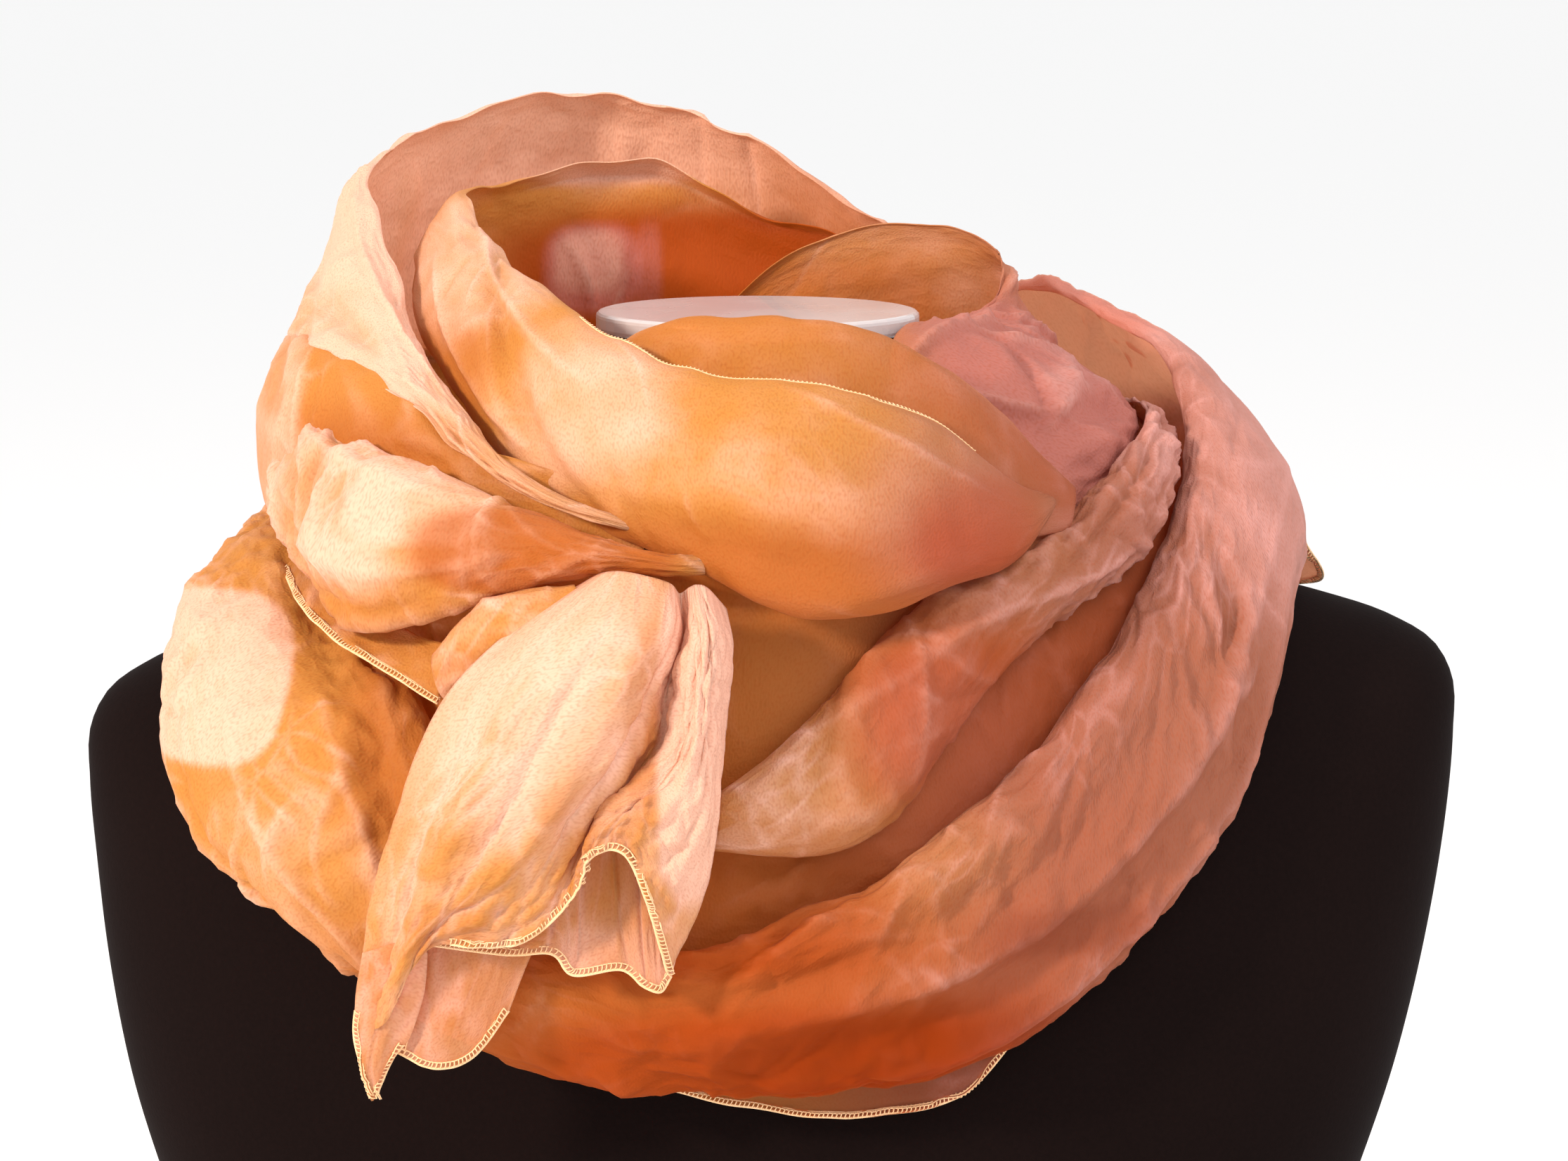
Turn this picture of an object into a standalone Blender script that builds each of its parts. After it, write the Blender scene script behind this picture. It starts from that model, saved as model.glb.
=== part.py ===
"""An organza scarf wound round the neck of a countertop bust form.

Every sheet of cloth is worked out from a table of stations in millimetres.  The tables are measured
from the centre of the cap that closes the neck, and the whole part is lifted so that the base of
the form stands on z = 0.  The front of the part faces -Y.
"""

import math

import bmesh
import bpy
import numpy as np

MILLIMETRE = 0.001
CAP_LIFT = 400.0
WALL = 1.1
END_GAP = 0.6
SHORT_STEP = 1.0
RING_OVERLAP = 3
END_FADE = 8.0
EDGE_POWER = 3
RIPPLE_LEAN = 2.0
TINY = 1e-9

# ---------------------------------------------------------------- colours and finishes
PEACH = (0.86, 0.42, 0.20)
CREAM = (0.90, 0.52, 0.28)
ROSE = (0.72, 0.30, 0.19)
EMBER = (0.62, 0.21, 0.07)
JERSEY_BLACK = (0.022, 0.020, 0.020)
CAP_WHITE = (0.86, 0.86, 0.88)
CLOTH_ROUGHNESS = 0.62
JERSEY_ROUGHNESS = 0.85
CAP_ROUGHNESS = 0.22

# ---------------------------------------------------------------- the form the scarf rests on
# z, half width, half depth, front-back shift, squareness of the outline, sideways drop factor
FORM_ROWS = (
    (-400.0, 150.0, 98.0, 0.0, 2.3, 0.0),
    (-396.0, 152.0, 100.0, 0.0, 2.3, 0.0),
    (-340.0, 162.0, 101.0, 0.0, 2.3, 0.0),
    (-280.0, 180.0, 101.0, -1.0, 2.4, 0.2),
    (-230.0, 195.0, 99.0, -1.0, 2.5, 0.5),
    (-190.0, 203.0, 95.0, 0.0, 2.5, 0.8),
    (-160.0, 207.0, 88.0, 1.0, 2.5, 1.0),
    (-135.0, 209.0, 79.0, 2.0, 2.5, 1.0),
    (-120.0, 209.0, 70.0, 3.0, 2.4, 1.0),
    (-110.0, 204.0, 62.0, 4.0, 2.3, 1.0),
    (-102.0, 192.0, 56.0, 4.0, 2.2, 1.0),
    (-94.0, 171.0, 52.0, 4.0, 2.1, 1.0),
    (-86.0, 142.0, 50.0, 4.0, 2.0, 1.0),
    (-76.0, 108.0, 49.0, 4.0, 2.0, 1.0),
    (-66.0, 82.0, 48.0, 4.0, 2.0, 1.0),
    (-54.0, 63.0, 47.0, 3.0, 2.0, 1.0),
    (-40.0, 53.0, 46.0, 2.0, 2.0, 0.6),
    (-24.0, 49.0, 46.0, 1.0, 2.0, 0.2),
    (-6.3, 47.5, 46.5, 0.0, 2.0, 0.0),
)
FORM_POINTS = 44
SHOULDER_TILT = 0.036
SHOULDER_SHIFT = 4.0
CAP_RADIUS = 49.0
CAP_DEPTH = 6.0
CAP_ROUND = 1.6
CAP_POINTS = 48
CAP_ARC_STEPS = 3

# ---------------------------------------------------------------- the cloth
# Columns of every station table: ax ay az = upper or inner edge, bx by bz = lower or outer edge,
# bulge = how far the sheet swells out between the two edges.  Stations run anticlockwise seen from
# above on every winding, and downwards on the hanging end.
OUTER_RING = (
    (-146.0, 60.0, -69.0, -158.0, 62.0, -97.0, 8.0),
    (-142.0, 20.0, -66.0, -167.0, 18.0, -98.3, 11.0),
    (-134.0, -18.0, -69.0, -172.0, -26.0, -94.5, 12.0),
    (-124.0, -48.0, -82.0, -173.0, -60.0, -103.0, 12.0),
    (-112.0, -72.0, -91.0, -167.0, -85.0, -131.0, 16.0),
    (-100.0, -92.0, -99.0, -152.0, -102.0, -150.0, 18.0),
    (-90.0, -107.0, -114.0, -136.0, -112.0, -161.0, 16.0),
    (-84.0, -118.0, -134.0, -113.0, -118.0, -175.0, 14.0),
    (-77.0, -124.0, -156.0, -93.0, -120.0, -190.0, 12.0),
    (-68.0, -126.0, -171.0, -73.0, -120.0, -200.0, 11.0),
    (-48.0, -127.0, -174.0, -48.0, -118.0, -207.0, 12.0),
    (-20.0, -127.0, -169.0, -17.0, -116.0, -211.0, 13.0),
    (22.0, -121.0, -155.0, 16.0, -115.0, -213.0, 14.0),
    (59.0, -107.0, -134.0, 53.0, -112.0, -208.0, 15.0),
    (82.0, -92.0, -116.0, 84.0, -104.0, -194.0, 16.0),
    (103.0, -71.0, -92.0, 113.0, -92.0, -170.0, 16.0),
    (118.0, -46.0, -70.0, 136.0, -75.5, -142.0, 15.5),
    (127.0, -18.0, -49.0, 151.0, -58.7, -112.0, 14.0),
    (130.0, 10.0, -29.0, 162.0, -20.0, -82.0, 13.0),
    (124.0, 40.0, -13.0, 168.0, 34.0, -79.0, 12.0),
    (108.0, 67.0, -6.0, 155.0, 76.0, -76.0, 13.0),
    (88.0, 95.0, -14.0, 126.0, 107.0, -80.0, 14.0),
    (60.0, 120.0, -40.0, 84.0, 125.0, -92.0, 13.0),
    (26.0, 131.0, -62.0, 38.0, 131.0, -106.0, 11.0),
    (-8.0, 133.0, -74.0, -6.0, 132.0, -114.0, 10.0),
    (-46.0, 130.0, -78.0, -50.0, 130.0, -116.0, 10.0),
    (-88.0, 116.0, -76.0, -95.0, 119.0, -112.0, 9.0),
    (-124.0, 92.0, -71.0, -134.0, 96.0, -102.0, 8.0),
)
MIDDLE_WINDING = (
    (-10.0, -121.0, -124.0, -12.0, -122.0, -140.0, 5.0),
    (1.0, -120.0, -116.0, 6.0, -121.0, -142.0, 7.0),
    (15.0, -116.0, -104.0, 25.0, -117.0, -141.0, 10.0),
    (27.0, -111.0, -91.0, 42.0, -109.0, -131.0, 12.0),
    (40.0, -104.0, -79.0, 54.0, -101.0, -113.0, 12.0),
    (62.0, -88.0, -64.0, 73.0, -87.0, -92.0, 11.0),
    (86.0, -65.0, -56.0, 94.0, -68.0, -78.0, 9.0),
    (107.0, -36.0, -41.0, 116.0, -40.0, -63.0, 7.0),
    (118.0, -8.0, -31.0, 124.0, -10.0, -48.0, 5.0),
    (117.0, 24.0, -30.0, 121.0, 25.0, -48.0, 4.0),
    (103.0, 60.0, -35.0, 108.0, 62.0, -57.0, 5.0),
    (69.0, 88.0, -36.0, 74.0, 95.0, -68.0, 7.0),
    (28.0, 108.0, -33.0, 30.0, 118.0, -76.0, 8.0),
    (-20.0, 118.0, -29.0, -20.0, 126.0, -77.0, 9.0),
    (-69.0, 107.0, -25.0, -75.0, 116.0, -75.0, 9.0),
    (-109.0, 78.0, -20.0, -119.0, 87.0, -70.0, 8.0),
    (-135.0, 42.0, -22.0, -143.0, 44.0, -64.0, 5.0),
    (-143.0, 6.0, -27.0, -145.0, 4.0, -59.0, 3.0),
    (-134.0, -28.0, -31.0, -140.0, -36.0, -62.0, 6.0),
    (-119.0, -56.0, -33.0, -127.0, -70.0, -75.0, 12.0),
    (-99.0, -79.0, -36.0, -113.0, -97.0, -81.0, 15.0),
    (-79.0, -96.0, -42.0, -92.0, -112.0, -76.0, 14.0),
    (-56.0, -110.0, -49.0, -66.0, -119.0, -66.0, 9.0),
    (-36.0, -119.0, -55.0, -40.0, -123.0, -62.0, 5.0),
    (-22.0, -122.0, -57.0, -22.0, -125.0, -62.0, 2.5),
)
COLLAR_WINDING = (
    (80.0, 80.0, -4.0, 84.0, 78.0, -28.0, 4.0),
    (60.0, 97.0, 9.0, 67.0, 99.0, -32.0, 7.0),
    (34.0, 107.0, 21.0, 40.0, 116.0, -38.0, 12.0),
    (12.0, 113.0, 37.0, 12.0, 124.0, -38.0, 15.0),
    (-18.0, 117.0, 52.0, -20.0, 130.0, -35.0, 15.0),
    (-54.0, 115.0, 60.0, -58.0, 125.0, -31.0, 14.0),
    (-86.0, 98.0, 57.0, -94.0, 105.0, -27.0, 12.0),
    (-111.0, 70.0, 47.0, -123.0, 74.0, -21.0, 9.0),
    (-121.0, 40.0, 38.0, -137.0, 38.0, -13.0, 7.0),
    (-117.0, 20.0, 26.0, -140.0, 14.0, -12.0, 8.0),
    (-110.0, -4.0, 12.0, -132.0, -12.0, -11.0, 8.0),
    (-99.0, -34.0, -6.0, -117.0, -40.0, -14.0, 6.0),
    (-87.2, -60.6, -21.0, -98.0, -65.0, -22.0, 4.0),
    (-72.0, -86.0, -34.0, -80.0, -88.0, -36.0, 3.0),
    (-54.0, -103.0, -43.0, -57.0, -106.0, -46.0, 2.0),
    (-39.2, -110.2, -47.6, -40.2, -112.7, -50.2, 1.5),
)
INNER_WINDING = (
    (52.0, 84.0, 2.0, 50.0, 76.0, -36.0, 5.0),
    (26.0, 89.0, 15.0, 24.0, 83.0, -40.0, 7.0),
    (-4.0, 93.0, 24.0, -4.0, 86.0, -40.0, 9.0),
    (-28.0, 92.0, 37.0, -30.0, 84.0, -38.0, 10.0),
    (-57.0, 83.0, 39.0, -60.0, 76.0, -34.0, 10.0),
    (-80.0, 68.0, 35.0, -88.0, 62.0, -22.0, 9.0),
    (-91.0, 45.0, 33.0, -102.0, 44.0, 0.0, 7.0),
    (-84.0, 16.0, 23.0, -103.0, 6.0, -2.0, 8.0),
    (-76.0, -8.0, 15.0, -96.0, -26.0, -12.0, 10.0),
    (-66.0, -30.0, 10.0, -83.0, -54.0, -27.0, 12.0),
    (-52.0, -52.0, 4.0, -65.0, -81.0, -42.0, 13.0),
    (-34.0, -72.0, -5.0, -42.0, -104.0, -51.0, 14.0),
    (-14.0, -84.0, -11.0, -18.0, -116.0, -60.0, 14.0),
    (8.0, -88.0, -12.0, 4.0, -123.0, -70.0, 15.0),
    (32.0, -87.0, -17.0, 28.0, -122.0, -74.0, 15.0),
    (54.0, -83.0, -29.0, 52.0, -111.0, -68.0, 12.0),
    (72.0, -77.0, -43.0, 74.0, -92.0, -62.0, 7.0),
    (86.0, -66.0, -48.0, 86.0, -69.0, -51.0, 2.0),
)
RIGHT_INNER_WINDING = (
    (62.0, -45.0, -37.0, 93.0, -49.0, -57.0, 4.0),
    (51.0, -24.0, -18.0, 105.2, -28.3, -50.6, 8.0),
    (54.0, -2.0, -9.0, 110.9, -4.4, -42.7, 9.0),
    (60.0, 20.0, -5.0, 108.5, 22.0, -40.0, 8.0),
    (74.0, 41.0, 1.0, 95.0, 46.0, -34.0, 5.0),
    (76.0, 55.0, 12.0, 82.0, 60.0, -34.0, 5.0),
    (64.0, 66.0, 19.0, 64.0, 66.0, -38.0, 5.0),
    (44.0, 74.0, 21.0, 42.0, 69.0, -40.0, 5.0),
    (24.0, 77.0, 17.0, 20.0, 71.0, -42.0, 5.0),
    (4.0, 78.0, 7.0, 0.0, 73.0, -44.0, 5.0),
    (-12.0, 77.0, -8.0, -14.0, 73.0, -44.0, 4.0),
)
LOWER_HEM_FLAP = (
    (-32.0, -107.5, -190.0, -30.0, -108.5, -212.0, 0.5),
    (0.0, -107.5, -190.0, 2.0, -108.5, -219.0, 1.0),
    (34.0, -106.5, -188.0, 36.0, -108.0, -221.0, 1.0),
    (58.0, -102.5, -184.0, 62.0, -103.5, -214.0, 1.0),
    (80.0, -96.0, -176.0, 87.0, -97.0, -201.0, 0.5),
)
LEFT_POCKET = (
    (-128.0, 40.0, -8.0, -131.0, 40.0, -42.0, 4.0),
    (-134.0, 14.0, -9.0, -132.0, 12.0, -44.0, 5.0),
    (-128.0, -10.0, -11.0, -130.0, -14.0, -44.0, 5.0),
    (-113.0, -36.0, -17.0, -120.0, -41.0, -43.0, 4.0),
    (-94.0, -60.0, -26.0, -102.0, -64.0, -44.0, 3.0),
    (-72.0, -82.0, -37.0, -79.0, -83.0, -48.0, 2.0),
)
LEFT_HEM_STRIP = (
    (-131.0, -28.0, -66.5, -140.0, -43.0, -73.2, 1.0),
    (-121.0, -58.0, -73.0, -130.0, -73.0, -81.0, 1.0),
    (-108.0, -82.0, -80.0, -118.0, -91.0, -87.0, 1.0),
    (-96.0, -97.0, -83.0, -104.0, -104.0, -93.0, 1.0),
    (-84.0, -107.0, -85.0, -89.0, -114.0, -100.0, 1.0),
)
COWL_FLAP = (
    (-46.0, -52.0, -10.0, -44.0, -62.0, -26.0, 3.0),
    (-30.0, -60.0, 0.0, -28.0, -71.0, -28.0, 6.0),
    (-8.0, -69.0, 5.0, -6.0, -82.0, -30.0, 7.0),
    (16.0, -71.0, 5.0, 16.0, -84.0, -32.0, 7.0),
    (38.0, -69.0, -1.0, 38.0, -82.0, -40.0, 8.0),
    (58.0, -65.0, -13.0, 58.0, -78.0, -49.0, 8.0),
    (76.0, -60.0, -28.0, 74.0, -67.0, -53.0, 6.0),
    (89.0, -53.0, -47.0, 84.0, -57.0, -58.0, 2.0),
)
RIGHT_CAVITY = (
    (-22.0, -110.0, -134.0, -24.0, -116.0, -176.0, 2.0),
    (8.0, -109.0, -134.0, 8.0, -113.0, -170.0, 2.0),
    (33.0, -101.0, -124.0, 40.0, -107.0, -156.0, 2.0),
    (54.0, -88.0, -102.0, 69.0, -94.0, -136.0, 2.0),
    (76.0, -69.0, -80.0, 93.0, -74.0, -108.0, 2.0),
    (96.0, -46.0, -62.0, 111.0, -47.0, -80.0, 2.0),
    (110.0, -18.0, -46.0, 120.0, -18.0, -61.0, 1.5),
    (112.5, 8.0, -38.0, 122.7, 9.0, -51.5, 1.0),
)
CENTRE_PANEL = (
    (-30.0, -96.0, -60.0, -34.0, -108.0, -128.0, 3.0),
    (-6.0, -100.0, -62.0, -8.0, -110.0, -126.0, 3.0),
    (18.0, -99.5, -64.0, 12.0, -109.0, -118.0, 3.0),
    (42.0, -90.0, -68.0, 36.0, -100.0, -96.0, 3.0),
)
TAIL_KNOT = (
    (-89.0, -117.0, -85.0, -86.0, -123.0, -97.0, 4.0),
    (-80.0, -117.5, -74.4, -76.0, -127.0, -89.0, 5.0),
    (-66.0, -120.0, -67.4, -60.0, -129.0, -77.0, 3.0),
    (-50.0, -123.0, -64.8, -47.0, -127.0, -69.0, 1.0),
)
TAIL_LEFT = (
    (-27.0, -127.6, -63.6, -43.0, -125.7, -61.2, 4.0),
    (-24.0, -139.0, -74.0, -62.0, -138.0, -74.0, 8.0),
    (-32.0, -146.0, -88.0, -80.0, -142.0, -92.0, 11.0),
    (-37.0, -150.0, -104.0, -92.0, -144.0, -110.0, 12.0),
    (-46.0, -152.0, -122.0, -101.0, -147.0, -131.0, 11.0),
    (-56.0, -153.0, -140.0, -106.0, -149.0, -152.0, 9.0),
    (-72.0, -152.0, -156.0, -109.0, -150.0, -172.0, 7.0),
    (-88.0, -150.0, -174.0, -111.0, -149.0, -188.0, 5.0),
    (-99.0, -147.0, -194.0, -109.0, -147.0, -203.0, 2.5),
)
TAIL_RIGHT = (
    (-12.0, -128.0, -65.0, -24.0, -127.0, -65.0, 3.0),
    (-7.0, -132.0, -76.0, -28.0, -131.0, -75.0, 4.0),
    (-6.0, -135.0, -92.0, -38.0, -136.0, -90.0, 6.0),
    (-7.0, -138.0, -110.0, -45.0, -139.0, -106.0, 7.0),
    (-10.0, -141.0, -128.0, -54.0, -142.0, -122.0, 7.0),
    (-15.0, -144.0, -146.0, -64.0, -144.0, -140.0, 6.0),
    (-22.0, -146.0, -162.0, -76.0, -145.0, -155.0, 4.0),
)
TAIL_LINING = (
    (-102.0, -147.0, -168.0, -101.0, -145.3, -188.0, 1.0),
    (-92.0, -146.5, -160.0, -91.0, -145.3, -198.0, 1.0),
    (-78.0, -142.8, -150.0, -78.0, -144.5, -193.0, 1.0),
    (-65.0, -141.6, -142.0, -65.0, -142.5, -172.0, 1.0),
    (-48.0, -139.5, -138.0, -48.0, -141.0, -173.0, 1.0),
    (-34.0, -139.0, -138.0, -33.0, -141.0, -174.0, 1.0),
    (-23.0, -139.0, -140.0, -23.0, -141.5, -175.0, 1.0),
)
CORNER_TIP = (
    (160.0, 20.0, -84.5, 169.0, 22.0, -88.0, 0.5),
    (165.0, 34.0, -83.5, 178.0, 36.0, -89.0, 0.5),
    (162.0, 50.0, -84.5, 171.0, 52.0, -89.0, 0.5),
)

# Columns of every crease table: where the crease starts and ends, as fractions across the sheet
# (a to b) and along it, its half width and its height in millimetres; a trough has a minus height.
CREASE_TABLES = {
    "outer_loop_front": (
        (0.42, 0.10, 0.30, 0.95, 5.0, -3.0),
        (0.62, 0.20, 0.52, 0.95, 5.0, 3.0),
        (0.80, 0.30, 0.70, 0.90, 5.0, -2.5),
    ),
    "outer_loop_right": (
        (0.30, 0.00, 0.40, 0.60, 6.0, -2.5),
        (0.60, 0.05, 0.72, 0.70, 6.0, 2.5),
    ),
    "outer_loop_left": (
        (0.24, 0.30, 0.36, 0.95, 5.0, -3.5),
        (0.50, 0.55, 0.85, 0.80, 5.0, 2.5),
        (0.45, 0.75, 0.80, 0.98, 5.0, -2.0),
    ),
    "outer_loop_back": (
        (0.30, 0.05, 0.45, 0.90, 6.0, -2.5),
        (0.66, 0.10, 0.72, 0.85, 6.0, 2.0),
    ),
    "back_collar": (
        (0.30, 0.20, 0.70, 0.38, 9.0, -3.5),
        (0.25, 0.55, 0.72, 0.62, 9.0, 3.0),
        (0.30, 0.78, 0.66, 0.84, 8.0, -3.0),
    ),
    "front_cowl": (
        (0.10, 0.20, 0.88, 0.52, 5.0, -4.0),
        (0.45, 0.62, 0.75, 0.86, 7.0, 3.0),
    ),
    "left_swag": (
        (0.30, 0.35, 0.80, 0.60, 6.0, -2.5),
        (0.55, 0.30, 0.90, 0.52, 5.0, 2.0),
    ),
    "right_strand": (
        (0.30, 0.15, 0.62, 0.85, 4.0, 2.0),
        (0.75, 0.10, 0.40, 0.55, 4.0, -2.0),
    ),
    "tail_left": (
        (0.62, 0.10, 0.70, 0.95, 4.0, 2.5),
        (0.38, 0.20, 0.45, 0.85, 4.0, -2.5),
    ),
    "tail_right": (
        (0.45, 0.15, 0.40, 0.95, 4.0, -2.0),
    ),
}

# name, winding, its first and last row, curl of edge a, curl of edge b (degrees), depth of the curl
# against the bulge, cells across, cells along, colour, edge ripple, ripples along
CLOTH = (
    ("outer_loop_left", OUTER_RING, 0, 9, 25, 30, 0.5, 8, 16, PEACH, 1.2, 7),
    ("outer_loop_front", OUTER_RING, 9, 16, 25, 25, 0.5, 8, 14, ROSE, 1.2, 6),
    ("outer_loop_right", OUTER_RING, 16, 22, 25, 25, 0.5, 8, 13, ROSE, 1.2, 6),
    ("outer_loop_back", OUTER_RING, 22, 28, 20, 20, 0.5, 7, 13, ROSE, 1.0, 6),
    ("right_strand", MIDDLE_WINDING, 0, 9, 30, 30, 0.7, 8, 15, ROSE, 0.6, 5),
    ("back_lower_band", MIDDLE_WINDING, 9, 16, 15, 15, 0.5, 6, 14, ROSE, 0.6, 6),
    ("left_swag", MIDDLE_WINDING, 16, 24, 20, 30, 0.5, 8, 15, CREAM, 0.6, 5),
    ("back_collar", COLLAR_WINDING, 0, 8, 20, 15, 0.4, 8, 17, PEACH, 0.8, 7),
    ("left_upper_fold", COLLAR_WINDING, 8, 15, 25, 20, 0.4, 7, 13, CREAM, 0.5, 5),
    ("inner_collar", INNER_WINDING, 0, 6, 15, 0, 0.4, 6, 13, EMBER, 0.6, 6),
    ("front_cowl", INNER_WINDING, 6, 17, 10, 20, 0.4, 9, 20, CREAM, 0.5, 6),
    ("right_crumple", RIGHT_INNER_WINDING, 0, 4, 0, 10, 0.4, 6, 8, ROSE, 0.6, 3),
    ("right_back_hump", RIGHT_INNER_WINDING, 4, 10, 15, 0, 0.4, 6, 11, PEACH, 0.5, 4),
    ("lower_hem_flap", LOWER_HEM_FLAP, 0, 4, 0, 0, 0.0, 3, 9, ROSE, 0.0, 1),
    ("left_pocket", LEFT_POCKET, 0, 5, 0, 0, 0.0, 4, 9, PEACH, 0.0, 1),
    ("left_hem_strip", LEFT_HEM_STRIP, 0, 4, 0, 0, 0.0, 3, 8, CREAM, 0.0, 1),
    ("cowl_flap", COWL_FLAP, 0, 7, 0, 0, 0.0, 4, 13, PEACH, 0.5, 5),
    ("right_cavity", RIGHT_CAVITY, 0, 7, 0, 0, 0.0, 4, 13, EMBER, 0.0, 1),
    ("centre_panel", CENTRE_PANEL, 0, 3, 0, 0, 0.0, 4, 7, EMBER, 0.0, 1),
    ("tail_knot", TAIL_KNOT, 0, 3, 15, 0, 0.5, 5, 7, CREAM, 0.0, 1),
    ("tail_left", TAIL_LEFT, 0, 8, 10, 20, 0.4, 8, 15, CREAM, 0.5, 5),
    ("tail_right", TAIL_RIGHT, 0, 6, 20, 10, 0.4, 7, 13, CREAM, 0.5, 4),
    ("tail_lining", TAIL_LINING, 0, 6, 0, 0, 0.0, 4, 12, PEACH, 0.0, 1),
    ("corner_tip", CORNER_TIP, 0, 2, 0, 0, 0.0, 3, 5, ROSE, 0.0, 1),
)


def path_places(rows):
    """How far along the path each row of a winding stands, measured between section middles."""
    middles = (rows[:, 0:3] + rows[:, 3:6]) / 2.0
    spans = np.maximum(np.linalg.norm(np.diff(middles, axis=0), axis=1), SHORT_STEP)
    return np.concatenate(([0.0], np.cumsum(spans)))


def through_rows(rows, places, wanted):
    """Sections at the wanted distances: every column follows a cubic through its rows."""
    slopes = np.gradient(rows, places, axis=0)
    wanted = np.clip(wanted, places[0], places[-1])
    left = np.clip(np.searchsorted(places, wanted, side="right") - 1, 0, len(places) - 2)
    length = (places[left + 1] - places[left])[:, None]
    part = (wanted - places[left])[:, None] / length
    keep = 2.0 * part**3 - 3.0 * part**2 + 1.0
    lean = part**3 - 2.0 * part**2 + part
    lean_next = part**3 - part**2
    stations = keep * rows[left] + (1.0 - keep) * rows[left + 1]
    return stations + length * (lean * slopes[left] + lean_next * slopes[left + 1])


def unit(vectors):
    """Vectors of length one."""
    return vectors / np.maximum(np.linalg.norm(vectors, axis=-1, keepdims=True), TINY)


def stretch_stations(winding, first, last, count):
    """The sections of one stretch of a winding and the way the path travels at each of them.

    The outer ring closes on itself, so its rows are read round once more at both ends.  A stretch
    that meets the next one stops half the seam gap short of the row they share.
    """
    rows = np.array(winding, dtype=float)
    around = winding is OUTER_RING
    extra = RING_OVERLAP if around else 0
    if around:
        rows = np.concatenate((rows[-extra:], rows, rows[:extra]))
    places = path_places(rows)
    start_gap = END_GAP / 2.0 if around or first > 0 else 0.0
    end_gap = END_GAP / 2.0 if around or last < len(winding) - 1 else 0.0
    wanted = np.linspace(places[first + extra] + start_gap, places[last + extra] - end_gap, count)
    stations = through_rows(rows, places, wanted)
    ahead = through_rows(rows, places, wanted + SHORT_STEP)
    behind = through_rows(rows, places, wanted - SHORT_STEP)
    step = (ahead[:, 0:3] + ahead[:, 3:6]) - (behind[:, 0:3] + behind[:, 3:6])
    return stations, unit(step)


def crease_height(across, along, width, length, rows):
    """Sum of soft ridges and troughs: each falls off as a bell from its own straight line."""
    height = np.zeros_like(across)
    for start_u, start_v, end_u, end_v, half_width, rise in rows:
        line_u = (end_u - start_u) * width
        line_v = (end_v - start_v) * length
        from_u = (across - start_u) * width
        from_v = (along - start_v) * length
        share = np.clip((from_u * line_u + from_v * line_v) / (line_u**2 + line_v**2), 0.0, 1.0)
        away = (from_u - share * line_u) ** 2 + (from_v - share * line_v) ** 2
        height += rise * np.exp(-away / (half_width**2))
    return height


def sheet(name, winding, first, last, curl_a, curl_b, curl_depth, cells_u, cells_v, ripple, ripples):
    """The middle surface of a stretch of cloth.

    At every station the sheet goes from edge a to edge b as half an ellipse that swells out by the
    bulge, and past each edge the ellipse carries on by the curl angle, so the edge rolls inwards.
    """
    stations, travel = stretch_stations(winding, first, last, cells_v + 1)
    edge_a = stations[:, None, 0:3]
    edge_b = stations[:, None, 3:6]
    bulge = stations[:, None, 6:7]
    middle = (stations[:, 0:3] + stations[:, 3:6]) / 2.0
    outward = unit(np.cross(stations[:, 3:6] - stations[:, 0:3], travel))[:, None, :]
    angle = np.linspace(-math.radians(curl_a), math.pi + math.radians(curl_b), cells_u + 1)
    lift = np.sin(angle)
    lift = np.where(lift < 0.0, lift * curl_depth, lift)[None, :, None]
    share = ((1.0 - np.cos(angle)) / 2.0)[None, :, None]
    points = edge_a + (edge_b - edge_a) * share + outward * bulge * lift

    across, along = np.meshgrid(np.linspace(0.0, 1.0, cells_u + 1), np.linspace(0.0, 1.0, cells_v + 1))
    width = float(np.mean(np.linalg.norm(stations[:, 3:6] - stations[:, 0:3], axis=1)))
    length = float(np.sum(np.linalg.norm(np.diff(middle, axis=0), axis=1)))
    fade = np.clip(np.minimum(along, 1.0 - along) * END_FADE, 0.0, 1.0)
    height = crease_height(across, along, width, length, CREASE_TABLES.get(name, ()))
    edge = np.abs(2.0 * across - 1.0) ** EDGE_POWER
    wave = np.sin(2.0 * math.pi * ripples * along + RIPPLE_LEAN * across)
    height = height + ripple * edge * wave
    return points + outward * (height * fade)[:, :, None]


def walled(points):
    """A closed wall round a middle surface: the surface moved out and in by half the wall."""
    along = np.gradient(points, axis=0)
    across = np.gradient(points, axis=1)
    normal = unit(np.cross(across, along))
    front = points + normal * (WALL / 2.0)
    back = points - normal * (WALL / 2.0)
    rows, columns = points.shape[0], points.shape[1]
    number = np.arange(rows * columns).reshape(rows, columns)
    low = number[:-1, :-1]
    faces = [np.stack((low, number[:-1, 1:], number[1:, 1:], number[1:, :-1]), -1).reshape(-1, 4)]
    faces.append(faces[0][:, ::-1] + rows * columns)
    border = np.concatenate((number[0, :], number[1:, -1], number[-1, -2::-1], number[-2:0:-1, 0]))
    ahead = np.roll(border, -1)
    shift = rows * columns
    faces.append(np.stack((ahead, border, border + shift, ahead + shift), -1))
    return np.concatenate((front.reshape(-1, 3), back.reshape(-1, 3))), np.concatenate(faces)


def superellipse(half_width, half_depth, power, count):
    """Points round an outline |x/w|^p + |y/d|^p = 1, anticlockwise from +X."""
    turn = np.linspace(0.0, 2.0 * math.pi, count, endpoint=False)
    across = half_width * np.sign(np.cos(turn)) * np.abs(np.cos(turn)) ** (2.0 / power)
    deep = half_depth * np.sign(np.sin(turn)) * np.abs(np.sin(turn)) ** (2.0 / power)
    return across, deep


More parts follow.
